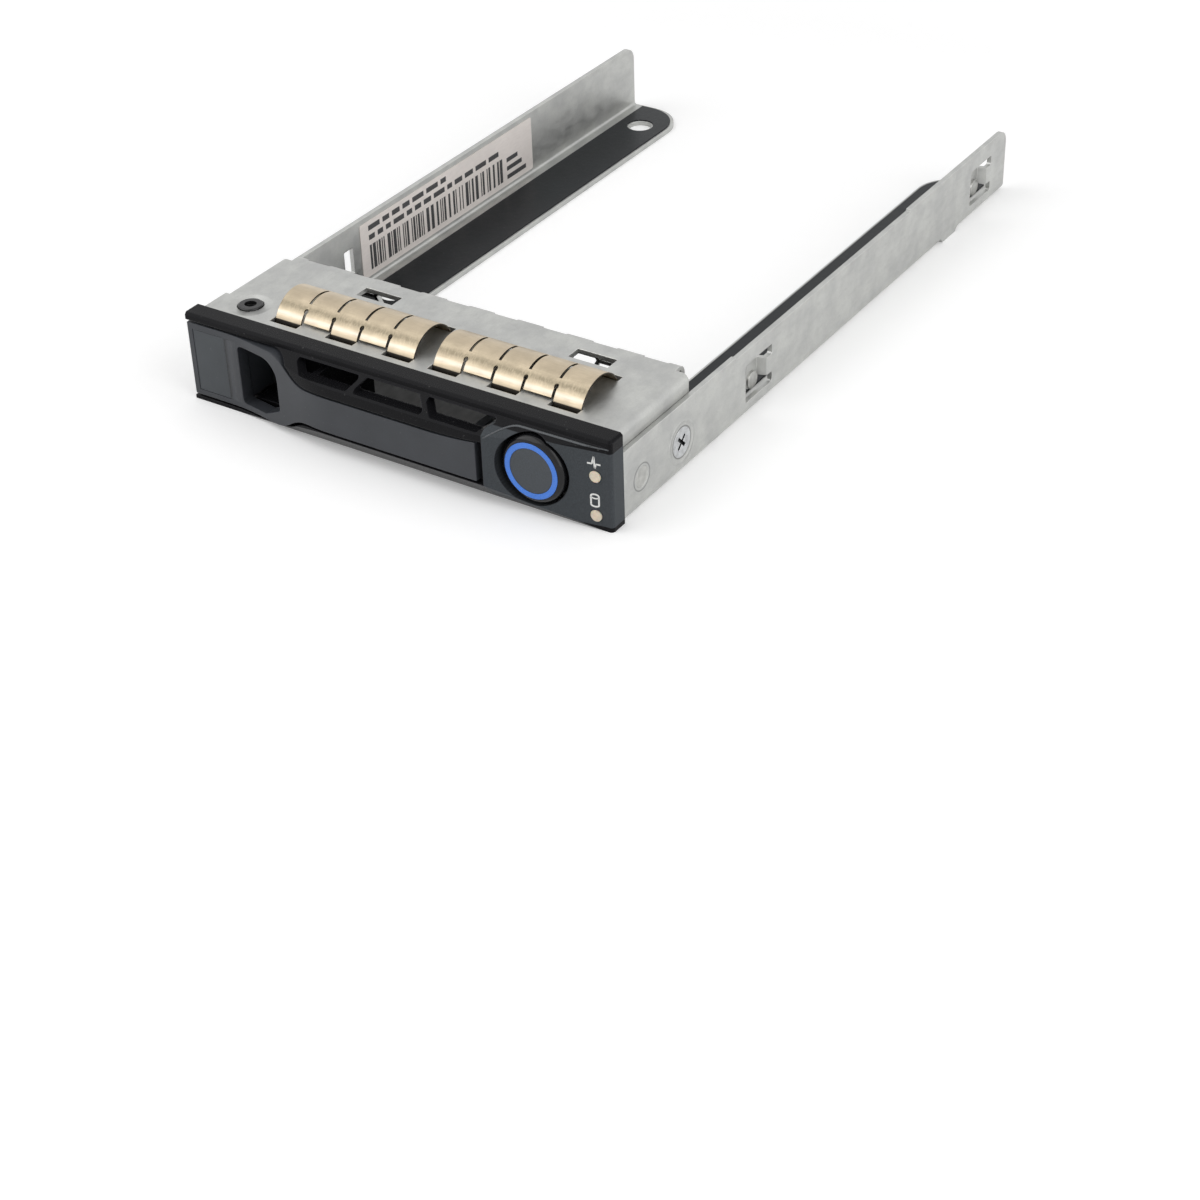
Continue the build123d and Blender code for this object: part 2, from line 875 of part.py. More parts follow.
def hull(skin, left, right, bottom, top):
    """The bezel's hull with its shoulders, or its hollow when drawn one skin smaller."""
    low_shift = skin * sqrt(1 + low_slope**2)
    high_shift = skin * sqrt(1 + high_slope**2)
    shoulder_top = min(top, strip_bottom)
    lower_back = -bezel_depth + (low_shift - bottom) / low_slope
    upper_back = -bezel_depth + (high_shift + shoulder_top - strip_bottom) / high_slope
    lower_front = bottom + (lower_back - before_hull) * low_slope
    upper_front = shoulder_top - (upper_back - before_hull) * high_slope
    plan = hull_plan(skin, left, right)
    with BuildPart() as body:
        extrude(plan.moved(Location((0, 0, bottom))), amount=top - bottom)
        with BuildSketch(at_x(left)):
            with BuildLine():
                Polyline(
                    (lower_back, bottom),
                    (before_hull, lower_front),
                    (before_hull, bottom - sheet),
                    (lower_back, bottom - sheet),
                    close=True,
                )
            make_face()
            with BuildLine():
                Polyline(
                    (upper_back, shoulder_top),
                    (before_hull, upper_front),
                    (before_hull, top + sheet),
                    (upper_back, top + sheet),
                    close=True,
                )
            make_face()
        extrude(amount=right - left, mode=Mode.SUBTRACT)
    return body.part


def lever_slab(left, right, grow, depth):
    """The lever's curved front slab, or the opening around it when it is drawn larger."""
    front_plan = hull_plan(0, left, right)
    back_plan = hull_plan(depth, left, right)
    top = lever_top + grow
    bottom = lever_bottom - grow
    bar_top = lever_bar_top + grow
    bar_bottom = lever_bar_bottom - grow
    with BuildPart() as slab:
        extrude(front_plan, amount=bezel_height)
        extrude(back_plan, amount=bezel_height, mode=Mode.SUBTRACT)
        with BuildSketch(at_y(before_hull)) as outline:
            with BuildLine():
                upper = Bezier(
                    (lever_s_start + grow, top),
                    (lever_s_start / 2 + lever_s_end / 2 + grow, top),
                    (lever_s_start / 2 + lever_s_end / 2 + grow, bar_top),
                    (lever_s_end + grow, bar_top),
                )
                rise = Line(upper @ 1, (lever_rise_start, bar_top))
                end = Bezier(
                    rise @ 1,
                    ((lever_rise_start + right) / 2, bar_top),
                    (right, lever_end_top + grow),
                )
                lower = Bezier(
                    (lever_s_end + grow, bar_bottom),
                    (lever_s_start / 2 + lever_s_end / 2 + grow, bar_bottom),
                    (lever_s_start / 2 + lever_s_end / 2 + grow, bottom),
                    (lever_s_start + grow, bottom),
                )
                Polyline(end @ 1, (right, bar_bottom), lower @ 0)
                Polyline(lower @ 1, (left, bottom), (left, top), upper @ 0)
            make_face()
        extrude(amount=before_hull, mode=Mode.INTERSECT)
    return slab.part


# Hollow of the bezel, with what stays solid inside it left out
latch_low = button_z - latch_height / 2 - latch_clearance
latch_high = button_z + latch_height / 2 + latch_clearance
left_guide = (panel_left, panel_left + inner_wall)
right_guide = (guide_right - inner_wall, guide_right)
pocket_wall = (pocket_right - inner_wall, pocket_right)
opening_depth = lever_thickness + lever_room
hollow_part = hull(bezel_wall, -half_width - bezel_depth, bulge_ends, lip_height, strip_bottom)
with BuildPart() as hollow:
    add(hollow_part)
    rod(
        (button_x, collar_back, button_z),
        (button_x, before_hull, button_z),
        button_bore + 2 * collar_wall,
        mode=Mode.SUBTRACT,
    )
    for wall in (left_guide, right_guide, pocket_wall):
        block(wall, (before_hull, 0), (0, bezel_height), mode=Mode.SUBTRACT)
    block(
        (lug_inner, half_width),
        (before_hull, 0),
        (screw_z - lug_height / 2, screw_z + lug_height / 2),
        mode=Mode.SUBTRACT,
    )

# Bezel
bezel_hull = hull(0, -half_width, half_width, 0, bezel_height)
lever_opening = lever_slab(-half_width - bezel_depth, panel_left, lever_gap, opening_depth)
with BuildPart() as bezel:
    add(bezel_hull)
    add(hollow.part, mode=Mode.SUBTRACT)
    add(lever_opening, mode=Mode.SUBTRACT)
    # Windows of the truss
    with BuildSketch(at_y(before_hull)):
        for top_left, top_right, bottom_right, bottom_left in windows:
            with BuildLine():
                FilletPolyline(
                    (top_left, window_top),
                    (top_right, window_top),
                    (bottom_right, window_bottom),
                    (bottom_left, window_bottom),
                    radius=window_corner,
                    close=True,
                )
            make_face()
    extrude(amount=before_hull + tongue_root, mode=Mode.SUBTRACT)
    # Tongues over the floor and under the cover's plate
    tongue_bottom = sheet + tongue_fit
    block(floor_tongue, (-tongue_root, 0), (0, tongue_bottom + tongue_thickness))
    block(floor_tongue, (0, tongue_depth), (tongue_bottom, tongue_bottom + tongue_thickness))
    for tongue in top_tongues:
        tongue_top = cover_under - tongue_fit
        block(tongue, (-tongue_root, 0), (tongue_top - tongue_thickness, bezel_height))
        block(tongue, (0, tongue_depth), (tongue_top - tongue_thickness, tongue_top))
    # Pocket behind the lever's left part
    block(
        (pocket_left, pocket_right),
        (pocket_back - inner_wall, pocket_back),
        (tongue_bottom, inner_wall_top),
    )
    block(pocket_wall, (0, pocket_back), (tongue_bottom, inner_wall_top))
    block(
        (floor_tongue[0], pocket_right),
        (0, pocket_back),
        (tongue_bottom, tongue_bottom + tongue_thickness),
    )
    # Guides of the latch
    for wall in (left_guide, right_guide):
        block(wall, (0, guide_back), (tongue_bottom, inner_wall_top))
    for low, lip in ((latch_low - inner_wall, latch_low), (latch_high, latch_high - guide_lip)):
        block(
            (panel_left, guide_right),
            (latch_front - latch_clearance, guide_back),
            (low, low + inner_wall),
        )
        block(
            (panel_left, guide_right),
            (latch_back + latch_clearance, guide_back),
            (lip, lip + guide_lip),
        )
    block(
        (panel_left - tongue_root, panel_left + inner_wall),
        (latch_front - latch_clearance, latch_back + latch_clearance),
        (latch_low, latch_high),
        mode=Mode.SUBTRACT,
    )
    # Lug for the rivet
    lug_z = (screw_z - lug_height / 2, screw_z + lug_height / 2)
    block((lug_inner, lug_outer), (-bezel_wall, lug_back), lug_z)
    rod(
        (lug_inner - sheet, rivet_y, screw_z),
        (half_width, rivet_y, screw_z),
        rivet_diameter + 2 * fastener_clearance,
        mode=Mode.SUBTRACT,
    )
    # Button bore and light pipe holes
    rod(
        (button_x, -tongue_root, button_z),
        (button_x, before_hull, button_z),
        button_bore,
        mode=Mode.SUBTRACT,
    )
    for pipe_z in light_pipe_heights:
        rod(
            (light_pipe_x, 0, pipe_z),
            (light_pipe_x, before_hull, pipe_z),
            light_pipe_diameter + 2 * light_pipe_fit,
            mode=Mode.SUBTRACT,
        )
    right_end = (
        bezel.edges().filter_by(Axis.Z)
        .filter_by(lambda e: e.center().X > bulge_ends and e.center().Y < -bezel_wall)
    )
    fillet(right_end, bezel_corner)
    top_front = bezel.edges().filter_by(Axis.X).group_by(Axis.Z)[-1].sort_by(Axis.Y)[0]
    chamfer(top_front, bezel_chamfer)
bezel.part.label = "bezel"
export_step(bezel.part, "parts/bezel.step")

# Light pipes
for name, pipe_z in zip(("light_pipe_upper", "light_pipe_lower"), light_pipe_heights):
    pipe_front = -bezel_depth - bulge * (bulge_ends - light_pipe_x) / (bulge_ends - bulge_full_to)
    with BuildPart() as light_pipe:
        rod(
            (light_pipe_x, pipe_front - light_pipe_proud, pipe_z),
            (light_pipe_x, light_pipe_back, pipe_z),
            light_pipe_diameter,
        )
    light_pipe.part.label = name
    export_step(light_pipe.part, "parts/" + name + ".step")

# Lever
lever_front = lever_slab(lever_left, lever_right, 0, lever_thickness)
with BuildPart() as lever:
    add(lever_front)
    # Web and barrel behind the left part
    block(
        (pivot_x - web_half_width, pivot_x + web_half_width),
        (-bezel_depth + lever_thickness / 2, pivot_y),
        (web_bottom, barrel_top),
    )
    rod((pivot_x, pivot_y, web_bottom), (pivot_x, pivot_y, barrel_top), barrel_diameter)
    rod(
        (pivot_x, pivot_y, 0),
        (pivot_x, pivot_y, bezel_height),
        pivot_diameter + 2 * pivot_running_clearance,
        mode=Mode.SUBTRACT,
    )
    # Finger opening, with a wall at its left that covers the pin and its spring
    block(
        (wall_left, wall_left + finger_wall),
        (-bezel_depth + lever_thickness / 2, pivot_y),
        (finger_bottom, barrel_top),
    )
    with BuildSketch(at_y(before_hull)):
        with BuildLine():
            FilletPolyline(
                (finger_left, finger_bottom),
                (finger_right - finger_slant, finger_bottom),
                (finger_right, finger_bottom + finger_slant / 2),
                (finger_right, finger_top),
                (finger_left, finger_top),
                radius=[finger_corner, finger_corner, finger_corner, finger_round, finger_corner],
                close=True,
            )
        make_face()
    extrude(amount=before_hull, mode=Mode.SUBTRACT)
    # Field for the inlay
    block(
        (inlay_left, inlay_right),
        (-bezel_depth, -bezel_depth + inlay_recess),
        (inlay_bottom, inlay_top),
        mode=Mode.SUBTRACT,
    )
    # Hook that the latch holds
    hook_z = (button_z - hook_height / 2, button_z + hook_height / 2)
    arm_right = hook_right - hook_nose
    block(
        (arm_right - hook_arm, arm_right), (hull_front + lever_thickness / 2, hook_tip), hook_z
    )
    block((arm_right, hook_right), (hook_tip - hook_nose_depth, hook_tip), hook_z)
lever.part.label = "lever"
export_step(lever.part, "parts/lever.step")

# Blank inlay in the lever's left field
with BuildPart() as lever_inlay:
    block(
        (inlay_left + inlay_gap, inlay_right - inlay_gap),
        (-bezel_depth + inlay_sunk, -bezel_depth + inlay_recess),
        (inlay_bottom + inlay_gap, inlay_top - inlay_gap),
    )
lever_inlay.part.label = "lever_inlay"
export_step(lever_inlay.part, "parts/lever_inlay.step")

# Pivot pin, headed at the top and flush with the floor's underside
with BuildPart() as pivot_pin:
    rod((pivot_x, pivot_y, 0), (pivot_x, pivot_y, pivot_head_bottom), pivot_diameter)
    rod(
        (pivot_x, pivot_y, pivot_head_bottom),
        (pivot_x, pivot_y, pivot_head_top),
        pivot_head_diameter,
    )
    fillet(pivot_pin.edges().group_by(Axis.Z)[-1], pivot_head_edge)
    rod(
        (pivot_x, pivot_y, pivot_head_top - pivot_socket_depth),
        (pivot_x, pivot_y, pivot_head_top),
        pivot_socket,
        mode=Mode.SUBTRACT,
    )
pivot_pin.part.label = "pivot_pin"
export_step(pivot_pin.part, "parts/pivot_pin.step")

# Torsion spring around the pin, under the lever's barrel
coil_pitch = (web_bottom - lever_spring_bottom - 2 * lever_spring_wire) / lever_spring_turns
with BuildPart() as lever_spring:
    with BuildLine() as coil_path:
        coil = Helix(
            coil_pitch,
            coil_pitch * lever_spring_turns,
            coil_radius,
            center=(pivot_x, pivot_y, lever_spring_bottom + lever_spring_wire / 2),
        )
    with BuildSketch(Plane(origin=coil @ 0, z_dir=coil % 0)):
        Circle(lever_spring_wire / 2)
    sweep(path=coil)
lever_spring.part.label = "lever_spring"
export_step(lever_spring.part, "parts/lever_spring.step")

# Button: a cap with ears that keep it in the panel and a stem with a wedge for the latch
with BuildPart() as button_cap:
    rod(
        (button_x, button_face, button_z), (button_x, button_back, button_z), button_diameter
    )
    fillet(button_cap.edges().group_by(Axis.Y)[0], button_edge)
    rod(
        (button_x, button_face + button_skin, button_z),
        (button_x, button_back, button_z),
        button_diameter - 2 * collar_wall,
        mode=Mode.SUBTRACT,
    )
    with BuildSketch(at_y(button_face)):
        with Locations((button_x, button_z)):
            Circle(button_ring_outer / 2)
            Circle(button_ring_inner / 2, mode=Mode.SUBTRACT)
    extrude(amount=-(button_ring_depth - button_ring_proud), mode=Mode.SUBTRACT)
    block(
        (button_x - ear_length / 2, button_x + ear_length / 2),
        (button_back - ear_thickness, button_back),
        (button_z - ear_height / 2, button_z + ear_height / 2),
    )
    with BuildSketch(at_z(button_z - stem_height / 2)):
        with BuildLine():
            Polyline(
                (stem_left, button_face + button_skin / 2),
                (stem_right, button_face + button_skin / 2),
                (stem_right, 0),
                (stem_right - stem_tip, stem_tip),
                (stem_left, stem_tip),
                close=True,
            )
        make_face()
    extrude(amount=stem_height)
button_cap.part.label = "button_cap"
export_step(button_cap.part, "parts/button_cap.step")

# Blue ring inlaid in the button's face
with BuildPart() as button_ring:
    with BuildSketch(at_y(button_face - button_ring_proud)):
        with Locations((button_x, button_z)):
            Circle(button_ring_outer / 2)
            Circle(button_ring_inner / 2, mode=Mode.SUBTRACT)
    extrude(amount=-button_ring_depth)
button_ring.part.label = "button_ring"
export_step(button_ring.part, "parts/button_ring.step")

# Latch slide with the wedge-sided window for the button's stem
with BuildPart() as latch_slide:
    block(
        (latch_left, latch_right),
        (latch_front, latch_back),
        (button_z - latch_height / 2, button_z + latch_height / 2),
    )
    window_left = stem_left - button_travel - latch_clearance
    wedge_gap = sqrt(latch_clearance**2 + latch_clearance**2)
    with BuildSketch(at_z(button_z - stem_height / 2 - latch_clearance)):
        with BuildLine():
            Polyline(
                (window_left, latch_front),
                (stem_right + wedge_gap - latch_front, latch_front),
                (stem_right + wedge_gap - latch_back, latch_back),
                (window_left, latch_back),
                close=True,
            )
        make_face()
    extrude(amount=stem_height + 2 * latch_clearance, mode=Mode.SUBTRACT)
latch_slide.part.label = "latch_slide"
export_step(latch_slide.part, "parts/latch_slide.step")

# Spring that pushes the latch, and with it the button, back
with BuildPart() as latch_spring:
    spring_start = latch_right + latch_spring_wire / 2
    spring_end = guide_right - inner_wall - latch_spring_wire / 2
    with BuildLine() as spring_path:
        turns = Helix(
            (spring_end - spring_start) / latch_spring_turns,
            spring_end - spring_start,
            (latch_spring_diameter - latch_spring_wire) / 2,
            center=(spring_start, (latch_front + latch_back) / 2, button_z),
            direction=(1, 0, 0),
        )
    with BuildSketch(Plane(origin=turns @ 0, z_dir=turns % 0)):
        Circle(latch_spring_wire / 2)
    sweep(path=turns)
latch_spring.part.label = "latch_spring"
export_step(latch_spring.part, "parts/latch_spring.step")
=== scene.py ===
import random
from math import cos, radians, sin

import bpy
from bpy.props import FloatProperty, FloatVectorProperty, IntProperty, PointerProperty
from bpy.types import Operator, Panel, PropertyGroup
from mathutils import Matrix, Vector
from mathutils.bvhtree import BVHTree


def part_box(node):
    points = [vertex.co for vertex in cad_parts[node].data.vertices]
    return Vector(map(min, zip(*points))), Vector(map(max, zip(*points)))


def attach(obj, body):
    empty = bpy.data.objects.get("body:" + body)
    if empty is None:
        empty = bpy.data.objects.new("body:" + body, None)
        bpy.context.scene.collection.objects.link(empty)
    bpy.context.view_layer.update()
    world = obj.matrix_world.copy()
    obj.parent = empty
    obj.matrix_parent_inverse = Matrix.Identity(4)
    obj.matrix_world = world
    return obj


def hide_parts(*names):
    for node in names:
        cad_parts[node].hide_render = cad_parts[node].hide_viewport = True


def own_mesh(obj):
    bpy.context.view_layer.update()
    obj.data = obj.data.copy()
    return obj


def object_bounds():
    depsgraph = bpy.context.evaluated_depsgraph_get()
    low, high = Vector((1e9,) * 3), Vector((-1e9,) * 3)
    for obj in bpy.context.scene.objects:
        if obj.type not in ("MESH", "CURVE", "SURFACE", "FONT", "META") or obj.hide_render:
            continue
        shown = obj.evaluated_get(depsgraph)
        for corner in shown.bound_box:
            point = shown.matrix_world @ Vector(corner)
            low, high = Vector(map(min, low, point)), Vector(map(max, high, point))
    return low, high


bl_info = {
    "name": "Hot Swap Drive Caddy",
    "version": (1, 0, 0),
    "blender": (4, 5, 0),
    "location": "3D View > Sidebar > Drive Caddy",
    "description": "Finishes a drive caddy's sheet metal, plastics and prints, and sets its stage",
    "category": "Object",
}

# The caddy's solids, in metres: X across it, Y from its front to its back, Z up
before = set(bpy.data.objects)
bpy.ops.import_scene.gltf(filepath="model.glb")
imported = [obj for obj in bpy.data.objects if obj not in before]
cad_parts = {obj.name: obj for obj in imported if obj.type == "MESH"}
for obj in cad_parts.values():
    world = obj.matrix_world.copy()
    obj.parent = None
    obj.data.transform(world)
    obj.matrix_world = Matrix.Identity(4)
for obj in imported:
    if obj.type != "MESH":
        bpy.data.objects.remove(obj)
frame_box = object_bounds()

# Places on the caddy that its finishes follow, in metres
screw_y = 0.0155
screw_z = 0.0052
screw_radius = 0.00236
rivet_y = 0.00465
rivet_radius = 0.0020
pivot_x = -0.0312
pivot_y = 0.0042
button_x = 0.0258
button_z = 0.0075
button_ring_inner = 0.0036
button_bore = 0.0057
panel_left = 0.0181
panel_top = 0.0128
panel_lip = 0.0008
marks_x = 0.0353
pulse_z = 0.0108
drive_mark_z = 0.0048
plate_top = 0.0144
box_floor = 0.0006
box_front = 0.0003
box_back = 0.0206
box_half_width = 0.0365

# Waves that a lathe leaves on turned metal, in radians for each metre
lathe_rings = 42000


def colour_setting(label, about, default):
    """A colour that a user may change."""
    return FloatVectorProperty(
        name=label, description=about, subtype="COLOR", size=3, min=0, max=1, default=default
    )


def size_setting(label, about, default, low=0.0, high=1.0):
    """A length that a user may change, in metres."""
    return FloatProperty(
        name=label, description=about, unit="LENGTH", precision=5, min=low, max=high,
        default=default,
    )


def share_setting(label, about, default):
    """A share from 0 to 1 that a user may change."""
    return FloatProperty(
        name=label, description=about, subtype="FACTOR", min=0, max=1, default=default
    )


class CaddyMetals(PropertyGroup):
    """Colours and grain of the sheet metal and the small metal parts."""

    sheet_colour: colour_setting(
        "Sheet colour", "Light patches of the galvanised sheet", (0.53, 0.535, 0.515)
    )
    sheet_shade: colour_setting(
        "Sheet shade", "Dull patches of the galvanised sheet", (0.42, 0.423, 0.415)
    )
    # Bare metal along the sheared edges, also a painted highlight there
    cut_edge_and_highlight: colour_setting("Cut edge", "Bare metal along sheared edges", (0.72, 0.72, 0.70))
    sheet_roughness: share_setting("Sheet roughness", "How dull the sheet is", 0.42)
    sheet_mottle: size_setting("Sheet mottle", "Size of the cloudy patches", 0.004, 0.0002, 0.05)
    sheet_grit: size_setting("Sheet grit", "Size of the fine sparkle", 0.00022, 0.00005, 0.005)
    # Painted shade inside the front box: how far it darkens the sheet
    box_painted_shade: share_setting("Box shade", "How dark the front box is inside", 0.92)
    finger_colour: colour_setting(
        "Contact finger colour", "Warm metal of the contact strips", (0.53, 0.445, 0.325)
    )
    # Also lightened for the painted highlight band on the contact strips
    turned_colour: colour_setting("Turned steel", "Pins and the rivet", (0.50, 0.50, 0.48))
    screw_colour: colour_setting("Screw steel", "Zinc plated screws", (0.56, 0.57, 0.58))
    # Also the colour of the painted shade in the front box and in the contact strips' slots and
    # slits
    pin_black: colour_setting("Black steel", "The lever's pivot pin", (0.012, 0.012, 0.013))
    # Painted shade on the front of the arches, where they reflect little light
    crest_shade_colour: colour_setting(
        "Contact crest", "Painted shade on top of the contact strips", (0.20, 0.17, 0.12)
    )
    wire_colour: colour_setting(
        "Spring wire", "Drawn wire of the latch's spring", (0.45, 0.45, 0.44)
    )
    dark_wire: colour_setting(
        "Dark wire", "Blackened wire of the lever's spring", (0.02, 0.02, 0.02)
    )


class CaddyPlastics(PropertyGroup):
    """Colours and grain of the mouldings, the film and the label."""

    bezel_colour: colour_setting(
        "Bezel", "Gloss of the bezel's truss and strip", (0.007, 0.007, 0.008)
    )
    panel_colour: colour_setting(
        "Button panel", "Matt panel round the button", (0.054, 0.060, 0.066)
    )
    lever_colour: colour_setting("Lever", "The lever's front", (0.038, 0.041, 0.047))
    inlay_colour: colour_setting("Lever inlay", "Blank field in the lever", (0.050, 0.056, 0.062))
    button_colour: colour_setting(
        "Button face", "Matt disc inside the ring", (0.055, 0.062, 0.070)
    )
    button_side: colour_setting(
        "Button side", "Gloss black of the button's rim", (0.006, 0.006, 0.007)
    )
    ring_colour: colour_setting("Button ring", "Blue ring on the button", (0.045, 0.19, 0.68))
    latch_colour: colour_setting("Latch", "The hidden latch slide", (0.045, 0.045, 0.045))
    pipe_colour: colour_setting(
        "Light pipe", "Milky plastic of the light pipes", (0.72, 0.62, 0.48)
    )
    film_colour: colour_setting("Film", "Insulating film on the floor", (0.006, 0.008, 0.010))
    label_colour: colour_setting("Label", "Paper of the blank label", (0.78, 0.725, 0.69))
    print_colour: colour_setting("Print", "Ink of the label's bars", (0.045, 0.045, 0.047))
    mark_colour: colour_setting("Marks", "White print on the button panel", (0.80, 0.80, 0.78))
    moulded_grain: size_setting(
        "Moulded grain", "Size of the plastic's texture", 0.00018, 0.00005, 0.005
    )
    grain_depth: size_setting("Grain depth", "Depth of that texture", 0.000006, 0.0, 0.001)


class CaddyPrints(PropertyGroup):
    """Sizes of the thin printed pieces."""

    ink: size_setting("Ink", "Thickness of a print", 0.00002, 0.000005, 0.001)
    bar_seed: IntProperty(name="Bar seed", description="Order of the label's bars", default=7)
    bar_height: size_setting("Bar height", "Height of the label's bars", 0.0044, 0.0005, 0.02)
    dash_height: size_setting("Dash height", "Height of the label's dashes", 0.0009, 0.0002, 0.01)
    stroke: size_setting("Mark stroke", "Line width of the panel's marks", 0.00026, 0.00005, 0.002)
    bead: size_setting(
        "Panel bead", "Width of the line along the panel's top", 0.0002, 0.00005, 0.002
    )
    bead_lift: size_setting("Bead lift", "How far that line stands out", 0.00006, 0.000005, 0.001)


class CaddyStage(PropertyGroup):
    """Camera, lamps and floor."""

    azimuth: FloatProperty(
        name="Azimuth", description="Camera's turn round the caddy, from its front to its right",
        subtype="ANGLE", default=radians(33.79),
    )
    elevation: FloatProperty(
        name="Elevation", description="Camera's height above the floor as an angle",
        subtype="ANGLE", default=radians(34.77),
    )
    roll: FloatProperty(
        name="Roll", description="Camera's tilt to its side", subtype="ANGLE",
        default=radians(-1.98),
    )
    aim: FloatVectorProperty(
        name="Aim", description="Point on the floor in the middle of the picture", size=3,
        subtype="TRANSLATION", unit="LENGTH", default=(0.04514, -0.01769, 0.0),
    )
    distance: size_setting("Distance", "From the camera to its aim", 0.32813, 0.05, 5.0)
    lens: FloatProperty(
        name="Lens", description="Focal length for a picture 36 mm wide",
        subtype="DISTANCE_CAMERA", min=10, max=300, default=73.31,
    )
    key_power: FloatProperty(
        name="Key lamp", description="Large soft lamp above the left front", unit="POWER",
        min=0, max=50, default=1.5,
    )
    fill_power: FloatProperty(
        name="Fill lamp", description="Soft lamp at the right", unit="POWER", min=0, max=50,
        default=1.15,
    )
    sky: FloatProperty(
        name="Surround", description="Light of the pale room on the object", min=0, max=2,
        default=0.55,
    )
    floor_glow: share_setting("Floor glow", "White added to the floor where it is seen", 0.18)
    far_glow: share_setting("Far glow", "White added to the floor far from the caddy", 0.60)
    near_floor: size_setting("Near floor", "Distance where the floor begins to whiten", 0.12)
    far_floor: size_setting("Far floor", "Distance where the floor is whitest", 0.50)
    floor_size: size_setting("Floor size", "Side of the square floor", 3.0, 0.5, 20.0)


class Finish:
    """A material for one kind of piece, built with short calls and measured in metres."""

    def __init__(self, name):
        self.material = bpy.data.materials.new(name)
        self.material.use_nodes = True
        self.tree = self.material.node_tree
        self.shader = self.tree.nodes["Principled BSDF"]
        self.place = self.add("ShaderNodeTexCoord").outputs["Object"]

    def feed(self, socket, value):
        """Sets a socket to a value, or links it to another node."""
        if isinstance(value, bpy.types.NodeSocket):
            self.tree.links.new(value, socket)
        else:
            socket.default_value = value

    def add(self, kind, inputs=None, **settings):
        """A new node with its settings and inputs."""
        node = self.tree.nodes.new(kind)
        for name, value in settings.items():
            setattr(node, name, value)
        for name, value in (inputs or {}).items():
            self.feed(node.inputs[name], value)
        return node

    def grain(self, size, detail=2.0, stretch=(1, 1, 1)):
        """Noise with features of this size, drawn out along an axis by stretch."""
        scale = [1 / (size * s) for s in stretch]
        place = self.add("ShaderNodeMapping", {"Vector": self.place, "Scale": scale})
        noise = self.add(
            "ShaderNodeTexNoise",
            {"Vector": place.outputs["Vector"], "Scale": 1.0, "Detail": detail},
        )
        return noise.outputs[0]

    def cells(self, size):
        """A different grey for each crystal-like cell of this size."""
        scale = [1 / size] * 3
        place = self.add("ShaderNodeMapping", {"Vector": self.place, "Scale": scale})
        cells = self.add("ShaderNodeTexVoronoi", {"Vector": place.outputs["Vector"], "Scale": 1.0})
        split = self.add("ShaderNodeSeparateColor", {"Color": cells.outputs["Color"]})
        return split.outputs[0]

    def span(self, value, low, high, to_low=0.0, to_high=1.0):
        """A value moved from one span to another, and held inside it."""
        moved = self.add(
            "ShaderNodeMapRange",
            {
                "Value": value, "From Min": low, "From Max": high, "To Min": to_low,
                "To Max": to_high,
            },
        )
        return moved.outputs["Result"]

    def band(self, value, low, high, soft):
        """1 between two values and 0 outside them."""
        rise = self.span(value, low - soft, low + soft)
        fall = self.span(value, high + soft, high - soft)
        return self.maths("MULTIPLY", rise, fall)

    def maths(self, operation, first, second=0.0):
        """One step of arithmetic."""
        return self.add("ShaderNodeMath", {0: first, 1: second}, operation=operation).outputs[0]

    def mixed(self, share, first, second):
        """A colour between two others."""
        node = self.add("ShaderNodeMix", data_type="RGBA")
        self.feed(node.inputs[0], share)
        self.feed(node.inputs[6], first)
        self.feed(node.inputs[7], second)
        return node.outputs[2]

    def mottled(self, pattern, low, high, colour, dark, light):
        """A colour that goes from a darker to a lighter tone over a span of a pattern."""
        return self.mixed(self.span(pattern, low, high), shade(colour, dark), shade(colour, light))

    def relief(self, height, depth, normal=None):
        """A bumped normal, with its full height at this depth."""
        inputs = {"Height": height, "Distance": depth}
        if normal is not None:
            inputs["Normal"] = normal
        return self.add("ShaderNodeBump", inputs).outputs["Normal"]

    def rounded(self, radius):
        """The normal, softened over this radius along the edges."""
        return self.add("ShaderNodeBevel", {"Radius": radius}, samples=6).outputs["Normal"]

    def edges(self, soft, full=0.80):
        """1 along the edges, 0 on the faces."""
        on_face = 0.985  # How well the soft and the flat normal agree there
        flat = self.add("ShaderNodeNewGeometry").outputs["Normal"]
        match = self.add("ShaderNodeVectorMath", {0: soft, 1: flat}, operation="DOT_PRODUCT")
        return self.span(match.outputs["Value"], on_face, full)

    def coordinate(self, axis):
        """The place along one axis."""
        split = self.add("ShaderNodeSeparateXYZ", {"Vector": self.place})
        return split.outputs[axis]

    def from_axis(self, point, across):
        """The distance from a line through a point, measured across it."""
        away = self.add("ShaderNodeVectorMath", {0: self.place, 1: point}, operation="SUBTRACT")
        flat = self.add(
            "ShaderNodeVectorMath", {0: away.outputs["Vector"], 1: across}, operation="MULTIPLY"
        )
        length = self.add("ShaderNodeVectorMath", {0: flat.outputs["Vector"]}, operation="LENGTH")
        return length.outputs["Value"]

    def complete(self, colour, roughness, normal, **sockets):
        """Feeds the shader and returns the material."""
        self.feed(self.shader.inputs["Base Color"], colour)
        self.feed(self.shader.inputs["Roughness"], roughness)
        self.feed(self.shader.inputs["Normal"], normal)
        for name, value in sockets.items():
            self.shader.inputs[name.replace("_", " ")].default_value = value
        return self.material


def shade(colour, factor=1.0):
    """A colour from the settings, lightened or darkened, as a node takes it."""
    return tuple(min(1.0, channel * factor) for channel in colour) + (1.0,)


def coat(material, *nodes):
    """Puts a material on the frame's own pieces."""
    for name in nodes:
        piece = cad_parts[name]
        if not piece.material_slots:
            piece.data.materials.append(material)
        for slot in piece.material_slots:
            slot.material = material


